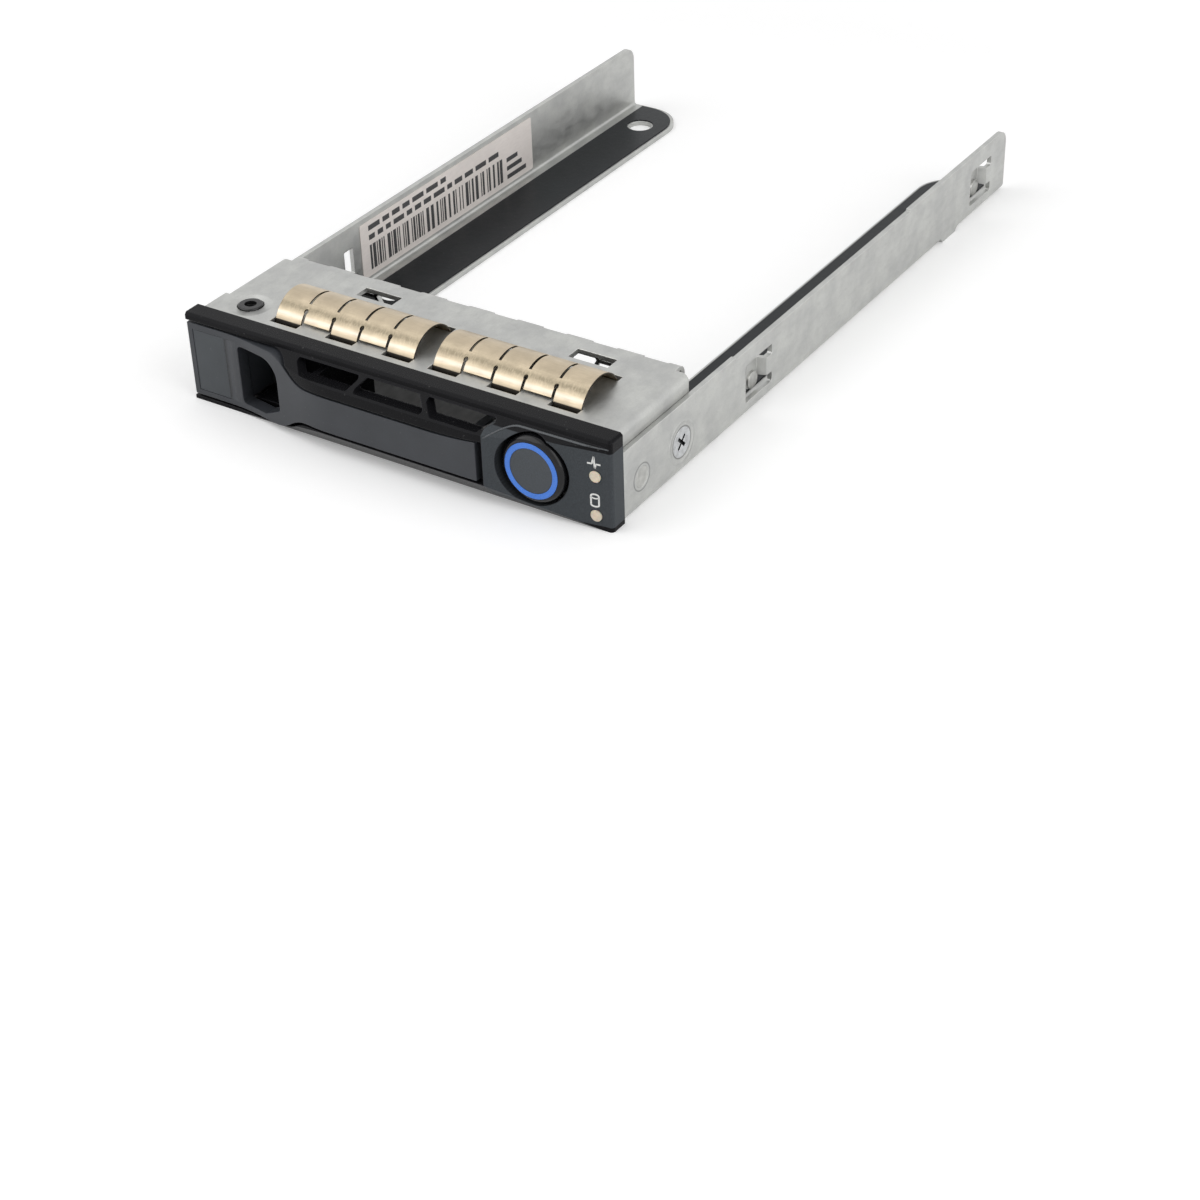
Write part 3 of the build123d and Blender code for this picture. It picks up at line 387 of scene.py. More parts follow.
def galvanised_sheet(metals):
    """Dull zinc coating: cloudy patches, rolled smears, fine grit, cut edges of bare metal with a
    painted highlight, and painted shade in the front box.
    """
    sheet = Finish("galvanised_sheet")
    clouds = sheet.grain(metals.sheet_mottle, 4.0)
    smears = sheet.grain(metals.sheet_mottle * 0.25, 4.0, (1.0, 2.6, 1.0))
    spangle = sheet.cells(metals.sheet_mottle * 0.35)
    grit = sheet.grain(metals.sheet_grit, 2.0)
    colour = sheet.mixed(
        sheet.span(clouds, 0.35, 0.65), shade(metals.sheet_shade, 1.05), shade(metals.sheet_colour)
    )
    colour = sheet.mixed(
        sheet.span(smears, 0.52, 0.75, 0, 0.35), colour, shade(metals.sheet_shade)
    )
    colour = sheet.mixed(
        sheet.span(spangle, 0.0, 1.0, 0.0, 0.14), colour, shade(metals.sheet_colour, 1.25)
    )
    colour = sheet.mixed(
        sheet.span(grit, 0.3, 0.7, 0, 0.22), colour, shade(metals.sheet_shade, 0.8)
    )
    soft = sheet.rounded(0.00016)
    # Lighter edges: bare cut metal and a painted highlight
    colour = sheet.mixed(
        sheet.maths("MULTIPLY", sheet.edges(soft), 0.6), colour, shade(metals.cut_edge_and_highlight)
    )
    roughness = sheet.span(
        smears, 0.3, 0.7, metals.sheet_roughness - 0.07, metals.sheet_roughness + 0.08
    )
    # Pressed rings round the side screws
    ring_inside, ring_top, ring_outside, ring_height = 0.0029, 0.0032, 0.0036, 0.00008
    away = sheet.from_axis((0, screw_y, screw_z), (0, 1, 1))
    rise = sheet.maths(
        "MULTIPLY", sheet.span(away, ring_inside, ring_top),
        sheet.span(away, ring_outside, ring_top + 0.0001),
    )
    normal = sheet.relief(rise, ring_height, soft)
    # Dimple round the pivot pin, in the top plate alone
    dimple_edge, dimple_bottom, dimple_depth = 0.0034, 0.0020, 0.00045
    away = sheet.from_axis((pivot_x, pivot_y, 0), (1, 1, 0))
    on_top = sheet.span(sheet.coordinate("Z"), plate_top - 0.0009, plate_top - 0.0004)
    dip = sheet.maths("MULTIPLY", sheet.span(away, dimple_edge, dimple_bottom), on_top)
    normal = sheet.relief(dip, -dimple_depth, normal)
    # Dark lines round the rivet, in the right arm alone, and round the side screws
    line_width, line_soft = 0.00022, 0.00006
    for place, radius, left_end, share in (
        (rivet_y, rivet_radius, 0.0, 0.6), (screw_y, screw_radius, -1.0, 0.7),
    ):
        away = sheet.from_axis((0, place, screw_z), (0, 1, 1))
        line = sheet.band(away, radius, radius + line_width, line_soft)
        line = sheet.maths(
            "MULTIPLY", line,
            sheet.span(sheet.coordinate("X"), left_end, left_end + 0.001, 0.0, share),
        )
        colour = sheet.mixed(line, colour, shade(metals.sheet_shade, 0.3))
    # Painted shade inside the front box, up to the underside of the top plate
    stain_soft = 0.00004
    inside = sheet.band(sheet.coordinate("Z"), box_floor, plate_top - 0.0007, stain_soft)
    for axis, low, high in (("Y", box_front, box_back), ("X", -box_half_width, box_half_width)):
        inside = sheet.maths(
            "MULTIPLY", inside, sheet.band(sheet.coordinate(axis), low, high, stain_soft)
        )
    colour = sheet.mixed(
        sheet.maths("MULTIPLY", inside, metals.box_painted_shade), colour, shade(metals.pin_black)
    )
    return sheet.complete(colour, roughness, normal, Metallic=0.9)


def contact_metal(metals):
    """Warm rolled spring metal of the contact strips."""
    metal = Finish("contact_strip")
    rolled = metal.grain(0.00016, 2.0, (12, 1, 1))
    clouds = metal.grain(0.003, 3.0)
    colour = metal.mottled(clouds, 0.35, 0.65, metals.finger_colour, 0.9, 1.12)
    colour = metal.mixed(
        metal.span(rolled, 0.35, 0.7, 0, 0.25), colour, shade(metals.finger_colour, 0.75)
    )
    # Painted shade: a darker band on the front of the arch, broken by streaks, where the arch
    # reflects little light; a painted highlight: a paler band below it
    height = metal.coordinate("Z")
    crest_y = 0.0080
    dull_low, dull_high, dull_soft = 0.0158, 0.0168, 0.0004
    pale_low, pale_high, pale_soft = 0.0151, 0.0154, 0.00025
    front = metal.span(metal.coordinate("Y"), crest_y, crest_y - 0.0010)
    dull = metal.maths("MULTIPLY", metal.band(height, dull_low, dull_high, dull_soft), front)
    streaks = metal.grain(0.0006, 3.0, (0.4, 1, 1))
    dull = metal.maths("MULTIPLY", dull, metal.span(streaks, 0.25, 0.6, 0.7, 1.0))
    colour = metal.mixed(dull, colour, shade(metals.crest_shade_colour))
    # Painted highlight: the paler band, in a lightened copy of the turned steel's colour
    pale = metal.maths("MULTIPLY", metal.band(height, pale_low, pale_high, pale_soft), 0.5)
    colour = metal.mixed(pale, colour, shade(metals.turned_colour, 1.3))
    # No light reaches the feet below the plate, nor the walls of the slits
    colour = metal.mixed(
        metal.span(height, plate_top + 0.00002, plate_top - 0.0001, 0, 0.96), colour,
        shade(metals.pin_black),
    )
    facing = metal.add("ShaderNodeNewGeometry").outputs["Normal"]
    sideways = metal.add("ShaderNodeSeparateXYZ", {"Vector": facing}).outputs["X"]
    sideways = metal.maths("ABSOLUTE", sideways)
    colour = metal.mixed(metal.span(sideways, 0.7, 0.9, 0, 0.85), colour, shade(metals.pin_black))
    soft = metal.rounded(0.00008)
    # Painted highlight along the edges
    colour = metal.mixed(
        metal.maths("MULTIPLY", metal.edges(soft), 0.2), colour, shade(metals.finger_colour, 1.3)
    )
    roughness = metal.span(rolled, 0.3, 0.7, 0.30, 0.42)
    return metal.complete(colour, roughness, metal.relief(rolled, 0.000006, soft), Metallic=1.0)


def turned_metal(
    name, colour, roughness, axis_point, across, metallic=1.0, hollow_axis="X", hollow_from=0.0
):
    """Steel with fine rings from the lathe, a painted highlight on its edges, and painted shade
    where it lies deeper than its face.
    """
    steel = Finish(name)
    radius = steel.from_axis(axis_point, across)
    rings = steel.maths("SINE", steel.maths("MULTIPLY", radius, lathe_rings))
    stains = steel.grain(0.0009, 3.0)
    tone = steel.mottled(stains, 0.3, 0.7, colour, 0.78, 1.15)
    tone = steel.mixed(steel.span(rings, -1, 1, 0, 0.18), tone, shade(colour, 0.6))
    soft = steel.rounded(0.0001)
    # Painted highlight along the edges
    tone = steel.mixed(steel.maths("MULTIPLY", steel.edges(soft), 0.4), tone, shade(colour, 1.6))
    rough = steel.span(stains, 0.3, 0.7, roughness - 0.06, roughness + 0.08)
    # Painted shade in the recesses and sockets
    hollow = steel.maths("ABSOLUTE", steel.coordinate(hollow_axis))
    tone = steel.mixed(
        steel.span(hollow, hollow_from, hollow_from - 0.0001, 0, 0.9), tone, shade(colour, 0.08)
    )
    return steel.complete(tone, rough, steel.relief(rings, 0.000002, soft), Metallic=metallic)


def drawn_wire(name, colour):
    """Spring wire with fine lines and a little oil."""
    wire = Finish(name)
    lines = wire.grain(0.00012, 2.0)
    tone = wire.mixed(lines, shade(colour, 0.7), shade(colour, 1.2))
    rough = wire.span(lines, 0.3, 0.7, 0.25, 0.4)
    return wire.complete(tone, rough, wire.relief(lines, 0.000003), Metallic=1.0)


def moulded_plastic(name, plastics, colour, roughness, edge_wear_and_highlight=2.4, depth=1.0):
    """Injection moulding: fine spark texture, faint clouds, dust, and edges lightened for rubbed
    wear and a painted highlight.
    """
    plastic = Finish(name)
    grain = plastic.grain(plastics.moulded_grain, 2.0)
    clouds = plastic.grain(0.007, 3.0)
    dust = plastic.grain(0.0005, 4.0)
    tone = plastic.mottled(clouds, 0.3, 0.7, colour, 0.86, 1.12)
    tone = plastic.mixed(plastic.span(grain, 0.35, 0.7, 0, 0.3), tone, shade(colour, 1.3))
    tone = plastic.mixed(plastic.span(dust, 0.68, 0.80, 0, 0.22), tone, shade((0.35, 0.35, 0.34)))
    soft = plastic.rounded(0.00022)
    # Lighter edges: rubbed wear and a painted highlight
    tone = plastic.mixed(
        plastic.maths("MULTIPLY", plastic.edges(soft, 0.75), 0.35), tone, shade(colour, edge_wear_and_highlight)
    )
    rough = plastic.span(grain, 0.3, 0.7, roughness - 0.05, roughness + 0.07)
    normal = plastic.relief(grain, plastics.grain_depth * depth, soft)
    return plastic, tone, rough, normal


def matt_face(plastic, plastics, colour):
    """The colour of a matt moulded face, with its grain."""
    grain = plastic.grain(plastics.moulded_grain, 2.0)
    return plastic.mottled(grain, 0.3, 0.7, colour, 0.85, 1.15)


class CADDY_OT_finish_sheet_metal(Operator):
    """Gives the tray and the front cover their galvanised finish."""

    bl_idname = "caddy.finish_sheet_metal"
    bl_label = "Finish Sheet Metal"

    def execute(self, context):
        coat(galvanised_sheet(context.scene.caddy_metals), "tray_frame", "front_cover")
        return {"FINISHED"}


class CADDY_OT_finish_contact_strips(Operator):
    """Gives the two arched contact strips their warm rolled metal."""

    bl_idname = "caddy.finish_contact_strips"
    bl_label = "Finish Contact Strips"

    def execute(self, context):
        metal = contact_metal(context.scene.caddy_metals)
        coat(metal, "emi_strip_left", "emi_strip_right")
        return {"FINISHED"}


class CADDY_OT_finish_fasteners(Operator):
    """Finishes the screws, the rivet, the pins and the lever's spring."""

    bl_idname = "caddy.finish_fasteners"
    bl_label = "Finish Fasteners"

    def execute(self, context):
        metals = context.scene.caddy_metals
        side = (0, 1, 1)
        # A recess begins this far below a screw's face, and the socket below the pin's head
        face_depth, head_depth = 0.0001, 0.0003
        coat(
            turned_metal(
                "screw_steel", metals.screw_colour, 0.30, (0, screw_y, screw_z), side,
                hollow_from=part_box("side_screws")[1].x - face_depth,
            ),
            "side_screws",
        )
        coat(
            turned_metal("rivet_steel", metals.turned_colour, 0.42, (0, rivet_y, screw_z), side),
            "bezel_rivet",
        )
        low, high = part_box("drive_pins")
        pin_height = (low.z + high.z) / 2
        coat(
            turned_metal("pin_steel", metals.turned_colour, 0.34, (0, low.y, pin_height), side),
            "drive_pins",
        )
        low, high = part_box("pivot_pin")
        middle = ((low.x + high.x) / 2, (low.y + high.y) / 2, 0)
        coat(
            turned_metal(
                "black_steel", metals.pin_black, 0.26, middle, (1, 1, 0), metallic=0.2,
                hollow_axis="Z", hollow_from=high.z - head_depth,
            ),
            "pivot_pin",
        )
        coat(drawn_wire("dark_wire", metals.dark_wire), "lever_spring")
        return {"FINISHED"}


class CADDY_OT_coil_latch_spring(Operator):
    """Copies the latch's spring as a coil of drawn wire that rides on the latch."""

    bl_idname = "caddy.coil_latch_spring"
    bl_label = "Coil Latch Spring"

    def execute(self, context):
        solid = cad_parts["latch_spring"]
        coil = bpy.data.objects.new("latch_coil", solid.data.copy())
        context.scene.collection.objects.link(coil)
        coil.matrix_world = solid.matrix_world
        wire = drawn_wire("spring_wire", context.scene.caddy_metals.wire_colour)
        coil.data.materials.clear()
        coil.data.materials.append(wire)
        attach(coil, "latch")
        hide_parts("latch_spring")
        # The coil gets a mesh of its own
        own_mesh(coil)
        return {"FINISHED"}


class CADDY_OT_finish_bezel(Operator):
    """Gives the bezel a gloss black truss and strip, and a matt panel round the button."""

    bl_idname = "caddy.finish_bezel"
    bl_label = "Finish Bezel"

    def execute(self, context):
        plastics = context.scene.caddy_plastics
        # A strong painted highlight along the bezel's edges
        plastic, tone, rough, normal = moulded_plastic(
            "bezel_plastic", plastics, plastics.bezel_colour, 0.24, edge_wear_and_highlight=12.0
        )
        blur, bore_blur = 0.0001, 0.00002
        right_of_lever = plastic.span(plastic.coordinate("X"), panel_left, panel_left + blur)
        under_strip = plastic.span(plastic.coordinate("Z"), panel_top, panel_top - blur)
        above_lip = plastic.span(plastic.coordinate("Z"), panel_lip - blur, panel_lip)
        out_of_bore = plastic.span(
            plastic.from_axis((button_x, 0, button_z), (1, 0, 1)), button_bore - bore_blur,
            button_bore + bore_blur,
        )
        matt = plastic.maths(
            "MULTIPLY",
            plastic.maths("MULTIPLY", right_of_lever, under_strip),
            plastic.maths("MULTIPLY", above_lip, out_of_bore),
        )
        tone = plastic.mixed(matt, tone, matt_face(plastic, plastics, plastics.panel_colour))
        rough = plastic.maths("ADD", rough, plastic.maths("MULTIPLY", matt, 0.18))
        coat(plastic.complete(tone, rough, normal, Specular_IOR_Level=0.07), "bezel")
        return {"FINISHED"}


class CADDY_OT_finish_lever(Operator):
    """Gives the lever and its blank inlay a satin dark grey."""

    bl_idname = "caddy.finish_lever"
    bl_label = "Finish Lever"

    def execute(self, context):
        plastics = context.scene.caddy_plastics
        for name, node, colour, roughness in (
            ("lever_plastic", "lever", plastics.lever_colour, 0.36),
            ("inlay_plastic", "lever_inlay", plastics.inlay_colour, 0.44),
        ):
            plastic, tone, rough, normal = moulded_plastic(name, plastics, colour, roughness)
            coat(plastic.complete(tone, rough, normal, Specular_IOR_Level=0.30), node)
        return {"FINISHED"}


class CADDY_OT_finish_button(Operator):
    """Gives the button a matt disc, a gloss rim and a blue ring, and finishes its latch."""

    bl_idname = "caddy.finish_button"
    bl_label = "Finish Button"

    def execute(self, context):
        plastics = context.scene.caddy_plastics
        plastic, tone, rough, normal = moulded_plastic(
            "button_plastic", plastics, plastics.button_side, 0.14, edge_wear_and_highlight=3.0, depth=0.3
        )
        radius = plastic.from_axis((button_x, 0, button_z), (1, 0, 1))
        disc = plastic.span(radius, button_ring_inner + 0.0001, button_ring_inner)
        tone = plastic.mixed(disc, tone, matt_face(plastic, plastics, plastics.button_colour))
        rough = plastic.maths("ADD", rough, plastic.maths("MULTIPLY", disc, 0.34))
        coat(plastic.complete(tone, rough, normal, Specular_IOR_Level=0.30), "button_cap")
        ring, tone, rough, normal = moulded_plastic(
            "ring_blue", plastics, plastics.ring_colour, 0.30, edge_wear_and_highlight=1.3, depth=0.4
        )
        coat(ring.complete(tone, rough, normal), "button_ring")
        latch, tone, rough, normal = moulded_plastic(
            "latch_plastic", plastics, plastics.latch_colour, 0.45
        )
        coat(latch.complete(tone, rough, normal), "latch_slide")
        return {"FINISHED"}


class CADDY_OT_finish_light_pipes(Operator):
    """Gives the two light pipes their milky plastic."""

    bl_idname = "caddy.finish_light_pipes"
    bl_label = "Finish Light Pipes"

    def execute(self, context):
        plastics = context.scene.caddy_plastics
        pipe = Finish("light_pipe")
        milk = pipe.grain(0.0006, 3.0)
        tone = pipe.mottled(milk, 0.3, 0.7, plastics.pipe_colour, 0.88, 1.08)
        soft = pipe.rounded(0.0002)
        rough = pipe.span(milk, 0.3, 0.7, 0.32, 0.46)
        material = pipe.complete(
            tone, rough, pipe.relief(milk, 0.00001, soft), Subsurface_Weight=0.25,
            Subsurface_Scale=0.0008,
        )
        coat(material, "light_pipe_upper", "light_pipe_lower")
        return {"FINISHED"}


class CADDY_OT_finish_film_and_label(Operator):
    """Gives the insulating film its orange-peel black and the label its paper."""

    bl_idname = "caddy.finish_film_and_label"
    bl_label = "Finish Film and Label"

    def execute(self, context):
        plastics = context.scene.caddy_plastics
        film, tone, rough, normal = moulded_plastic(
            "black_film", plastics, plastics.film_colour, 0.34
        )
        peel = film.grain(0.0012, 2.0)
        material = film.complete(
            tone, rough, film.relief(peel, 0.00002, normal), Specular_IOR_Level=0.18
        )
        coat(material, "insulating_film")
        paper = Finish("label_paper")
        fibres = paper.grain(0.0004, 4.0, (1, 3, 1))
        clouds = paper.grain(0.008, 2.0)
        tone = paper.mottled(clouds, 0.3, 0.7, plastics.label_colour, 0.93, 1.05)
        tone = paper.mixed(
            paper.span(fibres, 0.4, 0.75, 0, 0.3), tone, shade(plastics.label_colour, 0.8)
        )
        rough = paper.span(fibres, 0.3, 0.7, 0.42, 0.58)
        material = paper.complete(tone, rough, paper.relief(fibres, 0.000008), Metallic=0.15)
        coat(material, "label")
        return {"FINISHED"}


def new_piece(name, corners, faces, material, body):
    """A mesh piece that rides on a body of the frame."""
    mesh = bpy.data.meshes.new(name)
    mesh.from_pydata(corners, [], faces)
    mesh.validate()
    mesh.materials.append(material)
    piece = bpy.data.objects.new(name, mesh)
    bpy.context.scene.collection.objects.link(piece)
    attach(piece, body)


def prism_faces(start, count):
    """Faces of a closed prism: two outlines of count corners, one after the other."""
    outline = list(range(start, start + count))
    lid = [corner + count for corner in outline]
    sides = [
        (outline[i], outline[(i + 1) % count], lid[(i + 1) % count], lid[i])
        for i in range(count)
    ]
    return [tuple(reversed(outline)), tuple(lid)] + sides


def ink_material(name, colour):
    """Printed ink, a little uneven where it lies on the grain below."""
    ink = Finish(name)
    cover = ink.grain(0.00025, 3.0)
    tone = ink.mixed(ink.span(cover, 0.35, 0.7), shade(colour), shade(colour, 0.8))
    rough = ink.span(cover, 0.3, 0.7, 0.4, 0.6)
    return ink.complete(tone, rough, ink.relief(cover, 0.000003))


class CADDY_OT_print_label(Operator):
    """Prints a row of dashes and a field of generic bars on the blank label."""

    bl_idname = "caddy.print_label"
    bl_label = "Print Label"

    def execute(self, context):
        prints = context.scene.caddy_prints
        low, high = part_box("label")
        chance = random.Random(prints.bar_seed)
        margin, end_block = 0.0022, 0.0100
        bar_widths = (0.00026, 0.00026, 0.00052, 0.00078)
        bar_gaps = (0.00028, 0.00028, 0.00056, 0.0008)
        fields = []
        # Bars over most of the label's length
        bar_bottom = low.z + 0.0010
        bar_top = bar_bottom + prints.bar_height
        place = low.y + margin
        while place < high.y - end_block:
            width = chance.choice(bar_widths)
            fields.append((place, place + width, bar_bottom, bar_top))
            place += width + chance.choice(bar_gaps)
        # Two rows of short dashes above the bars, the upper one over half the length
        above_bars, row_pitch, dash_gap, short_row = 0.0009, 0.0017, 0.0008, 0.0240
        for row, end in ((0, high.y - end_block), (1, low.y + short_row)):
            base = bar_top + above_bars + row * row_pitch
            place = low.y + margin
            while place < end:
                width = chance.uniform(0.0012, 0.0034)
                fields.append((place, min(place + width, end), base, base + prints.dash_height))
                place += width + dash_gap
        # Three strokes at the end, each shorter than the one below it
        stroke_start, stroke_step, stroke_pitch, stroke_height = 0.0080, 0.0012, 0.0016, 0.0008
        for row in range(3):
            base = bar_bottom + row * stroke_pitch
            stroke_end = high.y - margin - stroke_step * row
            fields.append((high.y - stroke_start, stroke_end, base, base + stroke_height))
        corners = []
        faces = []
        for y_low, y_high, z_low, z_high in fields:
            outline = ((y_low, z_low), (y_high, z_low), (y_high, z_high), (y_low, z_high))
            faces += prism_faces(len(corners), len(outline))
            for x in (high.x - prints.ink, high.x + prints.ink):
                corners += [(x, y, z) for y, z in outline]
        ink = ink_material("label_ink", context.scene.caddy_plastics.print_colour)
        new_piece("label_print", corners, faces, ink, "carrier")
        return {"FINISHED"}


def face_finder(node):
    """A search tree over a frame piece's faces, to lay thin pieces on it."""
    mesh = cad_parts[node].data
    return BVHTree.FromPolygons(
        [corner.co for corner in mesh.vertices], [face.vertices for face in mesh.polygons]
    )


def ribbon(path, width, closed=False):
    """Left and right points of a flat stroke along a path in X and Z."""
    sharpest = 0.45  # Keeps the point of a sharp corner short
    points = [Vector(point) for point in path]
    pairs = []
    for i, point in enumerate(points):
        if closed:
            before, after = points[i - 1], points[(i + 1) % len(points)]
        else:
            before, after = points[max(i - 1, 0)], points[min(i + 1, len(points) - 1)]
        ways = [
            (b - a).normalized() for a, b in ((before, point), (point, after)) if (b - a).length
        ]
        way = sum(ways, Vector((0, 0))).normalized()
        across = Vector((-way.y, way.x))
        lean = max(sharpest, across.dot(Vector((-ways[0].y, ways[0].x))))
        reach = across * (width / 2 / lean)
        pairs.append((point + reach, point - reach))
    return pairs


def lay_ribbon(finder, pairs, thickness, corners, faces, closed=False):
    """Adds a stroke's prism to corners and faces, laid on the front of a piece."""
    start = len(corners)
    backwards = Vector((0, 1, 0))
    before_front = -0.05
    for left, right in pairs:
        depths = [
            finder.ray_cast(Vector((p.x, before_front, p.y)), backwards)[0] for p in (left, right)
        ]
        if None in depths:
            raise RuntimeError("a stroke runs off the piece that it lies on")
        for p, found, lift in (
            (left, depths[0], thickness), (right, depths[1], thickness),
            (right, depths[1], -thickness), (left, depths[0], -thickness),
        ):
            corners.append((p.x, found.y - lift, p.y))
    count = len(pairs)
    for i in range(count if closed else count - 1):
        here, there = start + 4 * i, start + 4 * ((i + 1) % count)
        for side in range(4):
            turn = (side + 1) % 4
            faces.append((here + side, here + turn, there + turn, there + side))
    if not closed:
        last = start + 4 * (count - 1)
        faces.append((start + 3, start + 2, start + 1, start))
        faces.append((last, last + 1, last + 2, last + 3))


def arc(centre, radius_x, radius_z, start, end, steps=10):
    """Points along an elliptical arc, from one angle in degrees to another."""
    turns = [radians(start + (end - start) * i / steps) for i in range(steps + 1)]
    return [(centre[0] + radius_x * cos(a), centre[1] + radius_z * sin(a)) for a in turns]


class CADDY_OT_print_marks(Operator):
    """Prints the pulse line and the drive symbol beside the two light pipes."""

    bl_idname = "caddy.print_marks"
    bl_label = "Print Marks"

    def execute(self, context):
        prints = context.scene.caddy_prints
        finder = face_finder("bezel")
        corners = []
        faces = []
        # The pulse: level, a peak, a dip and level again
        reach = 0.001
        steps = ((-1, -0.05), (-0.3, -0.05), (0, 1.1), (0.14, -0.75), (0.3, -0.05), (1, -0.05))
        pulse = [(marks_x + reach * x, pulse_z + reach * z) for x, z in steps]
        for leg in zip(pulse, pulse[1:]):
            lay_ribbon(finder, ribbon(leg, prints.stroke), prints.ink, corners, faces)
        # The drive: a can in outline, and the front of its lid
        radius, lid_depth, half_height = 0.0006, 0.0003, 0.0007
        can = arc((marks_x, drive_mark_z + half_height), radius, lid_depth, 0, 180)
        can += arc((marks_x, drive_mark_z - half_height), radius, lid_depth, 180, 360)
        lay_ribbon(finder, ribbon(can, prints.stroke, True), prints.ink, corners, faces, True)
        rim = arc((marks_x, drive_mark_z + 0.0006), radius, 0.00028, 190, 350)
        lay_ribbon(finder, ribbon(rim, prints.stroke * 0.8), prints.ink, corners, faces)
        ink = ink_material("mark_ink", context.scene.caddy_plastics.mark_colour)
        new_piece("panel_marks", corners, faces, ink, "carrier")
        return {"FINISHED"}


class CADDY_OT_mould_panel_bead(Operator):
    """Lays the thin moulded line that runs along the button panel's arched top."""

    bl_idname = "caddy.mould_panel_bead"
    bl_label = "Mould Panel Bead"

    def execute(self, context):
        prints = context.scene.caddy_prints
        plastics = context.scene.caddy_plastics
        finder = face_finder("bezel")
        start, crown, end = (0.0185, 0.0112), (0.0235, 0.01335), (0.0376, 0.01345)
        rise_steps, run_steps = 16, 24
        rise = [
            (
                start[0] + (crown[0] - start[0]) * t,
                start[1] + (crown[1] - start[1]) * sin(t * radians(90)),
            )
            for t in [i / rise_steps for i in range(rise_steps + 1)]
        ]
        run = [
            (
                crown[0] + (end[0] - crown[0]) * i / run_steps,
                crown[1] + (end[1] - crown[1]) * i / run_steps,
            )
            for i in range(1, run_steps + 1)
        ]
        corners = []
        faces = []
        line = ribbon(rise + run, prints.bead)
        lay_ribbon(finder, line, prints.bead_lift, corners, faces)
        plastic, tone, rough, normal = moulded_plastic(
            "bead_plastic", plastics, plastics.panel_colour, 0.28, edge_wear_and_highlight=2.0, depth=0.4
        )
        material = plastic.complete(tone, rough, normal)
        new_piece("panel_bead", corners, faces, material, "carrier")
        return {"FINISHED"}


def seen_directly(tree):
    """1 for rays from the camera, off a mirror and through glass, 0 for those that light."""
    path = tree.nodes.new("ShaderNodeLightPath")
    seen = path.outputs["Is Camera Ray"]
    for kind in ("Is Glossy Ray", "Is Transmission Ray"):
        larger = tree.nodes.new("ShaderNodeMath")
        larger.operation = "MAXIMUM"
        tree.links.new(seen, larger.inputs[0])
        tree.links.new(path.outputs[kind], larger.inputs[1])
        seen = larger.outputs[0]
    return seen


def add_lamp(name, place, aim, size, power):
    """A square soft lamp that points at the caddy."""
    data = bpy.data.lights.new(name, "AREA")
    data.shape = "SQUARE"
    data.size = size
    data.energy = power
    lamp = bpy.data.objects.new(name, data)
    bpy.context.scene.collection.objects.link(lamp)
    lamp.location = place
    lamp.rotation_mode = "QUATERNION"
    lamp.rotation_quaternion = (Vector(aim) - Vector(place)).to_track_quat("-Z", "Y")


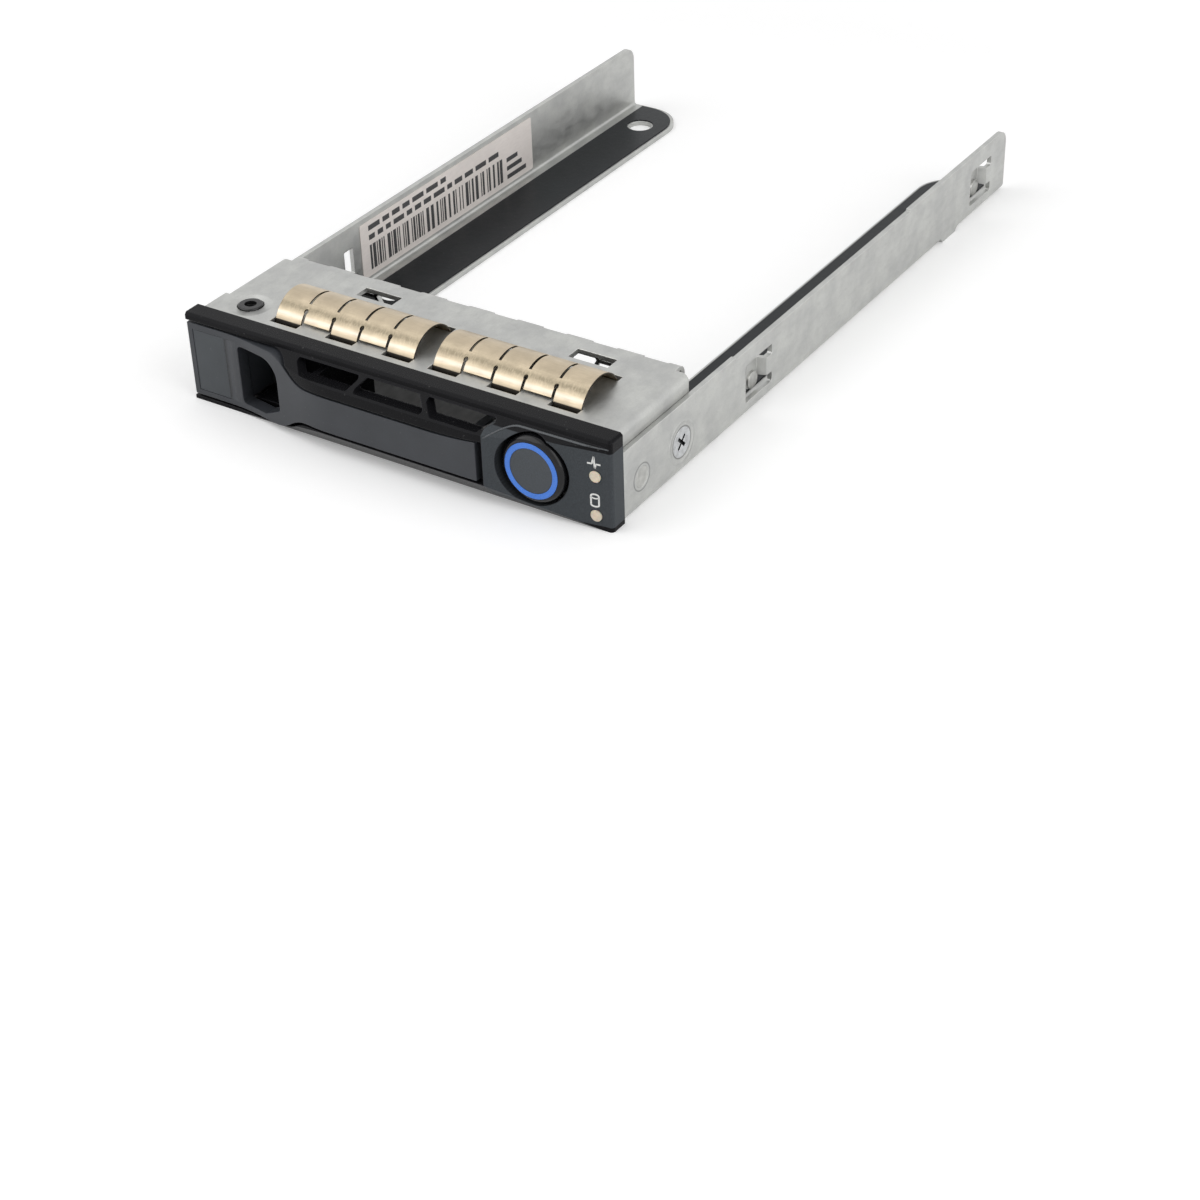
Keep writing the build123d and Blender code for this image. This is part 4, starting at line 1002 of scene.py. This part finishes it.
class CADDY_OT_build_stage(Operator):
    """Sets the floor, the pale surround, the lamps and the camera."""

    bl_idname = "caddy.build_stage"
    bl_label = "Build Stage"

    def execute(self, context):
        scene = context.scene
        stage = scene.caddy_stage
        half = stage.floor_size / 2
        level = frame_box[0].z
        outline = ((-half, -half), (half, -half), (half, half), (-half, half))
        mesh = bpy.data.meshes.new("floor")
        mesh.from_pydata([(x, y, level) for x, y in outline], [], [(0, 1, 2, 3)])
        floor = bpy.data.objects.new("floor", mesh)
        scene.collection.objects.link(floor)
        paint = Finish("floor_paint")
        speckle = paint.grain(0.002, 2.0)
        tone = paint.mixed(speckle, (0.90, 0.90, 0.90, 1), (0.93, 0.93, 0.93, 1))
        # Whiter with distance, so that the floor's far side melts into the room
        caddy_middle = 0.06
        away = paint.from_axis((0, caddy_middle, 0), (1, 1, 0))
        glow = paint.span(
            away, stage.near_floor, stage.far_floor, stage.floor_glow, stage.far_glow
        )
        glow = paint.maths("MULTIPLY", seen_directly(paint.tree), glow)
        paint.feed(paint.shader.inputs["Emission Strength"], glow)
        mesh.materials.append(
            paint.complete(tone, 0.7, paint.relief(speckle, 0.00001), Emission_Color=(1, 1, 1, 1))
        )

        # Pale room: white where it is seen or mirrored, softer where it lights the object
        world = bpy.data.worlds.new("pale_room")
        world.use_nodes = True
        tree = world.node_tree
        background = tree.nodes["Background"]
        background.inputs["Color"].default_value = (1, 1, 1, 1)
        strength = tree.nodes.new("ShaderNodeMapRange")
        tree.links.new(seen_directly(tree), strength.inputs["Value"])
        strength.inputs["To Min"].default_value = stage.sky
        strength.inputs["To Max"].default_value = 1.0
        tree.links.new(strength.outputs["Result"], background.inputs["Strength"])
        scene.world = world

        lit = (0.0, 0.05, 0.005)
        for name, place, size, power in (
            ("key_lamp", (-0.28, -0.22, 0.42), 0.60, stage.key_power),
            ("fill_lamp", (0.46, 0.02, 0.26), 0.50, stage.fill_power),
        ):
            add_lamp(name, place, lit, size, power)

        camera = bpy.data.objects.new("camera", bpy.data.cameras.new("camera"))
        scene.collection.objects.link(camera)
        picture_width = 36
        camera.data.sensor_width = picture_width
        camera.data.lens = stage.lens
        camera.data.clip_start = 0.01
        camera.data.clip_end = 20
        turn, height = stage.azimuth, stage.elevation
        back = Vector((sin(turn) * cos(height), -cos(turn) * cos(height), sin(height)))
        right = Vector((0, 0, 1)).cross(back).normalized()
        up = back.cross(right)
        tilt = Matrix.Rotation(stage.roll, 3, "Z")
        camera.location = Vector(stage.aim) + back * stage.distance
        camera.rotation_mode = "QUATERNION"
        facing = Matrix((right, up, back)).transposed() @ tilt
        camera.rotation_quaternion = facing.to_quaternion()
        scene.camera = camera
        scene.view_settings.view_transform = "Standard"
        return {"FINISHED"}


operators = (
    CADDY_OT_build_stage,
    CADDY_OT_finish_sheet_metal,
    CADDY_OT_finish_contact_strips,
    CADDY_OT_finish_fasteners,
    CADDY_OT_coil_latch_spring,
    CADDY_OT_finish_bezel,
    CADDY_OT_finish_lever,
    CADDY_OT_finish_button,
    CADDY_OT_finish_light_pipes,
    CADDY_OT_finish_film_and_label,
    CADDY_OT_print_label,
    CADDY_OT_print_marks,
    CADDY_OT_mould_panel_bead,
)
settings = {
    "caddy_metals": CaddyMetals,
    "caddy_plastics": CaddyPlastics,
    "caddy_prints": CaddyPrints,
    "caddy_stage": CaddyStage,
}


class CADDY_PT_panel(Panel):
    """Lists the caddy's settings and steps in the sidebar."""

    bl_label = "Drive Caddy"
    bl_space_type = "VIEW_3D"
    bl_region_type = "UI"
    bl_category = "Drive Caddy"

    def draw(self, context):
        for step in operators:
            self.layout.operator(step.bl_idname)
        for name, group in settings.items():
            box = self.layout.box()
            for setting in group.__annotations__:
                box.prop(getattr(context.scene, name), setting)


def register():
    for group in settings.values():
        bpy.utils.register_class(group)
    for name, group in settings.items():
        setattr(bpy.types.Scene, name, PointerProperty(type=group))
    for step in operators + (CADDY_PT_panel,):
        bpy.utils.register_class(step)


def unregister():
    for step in operators + (CADDY_PT_panel,):
        bpy.utils.unregister_class(step)
    for name, group in settings.items():
        delattr(bpy.types.Scene, name)
        bpy.utils.unregister_class(group)


def main():
    register()
    for step in operators:
        family, action = step.bl_idname.split(".")
        getattr(getattr(bpy.ops, family), action)()


if __name__ == "__main__":
    main()
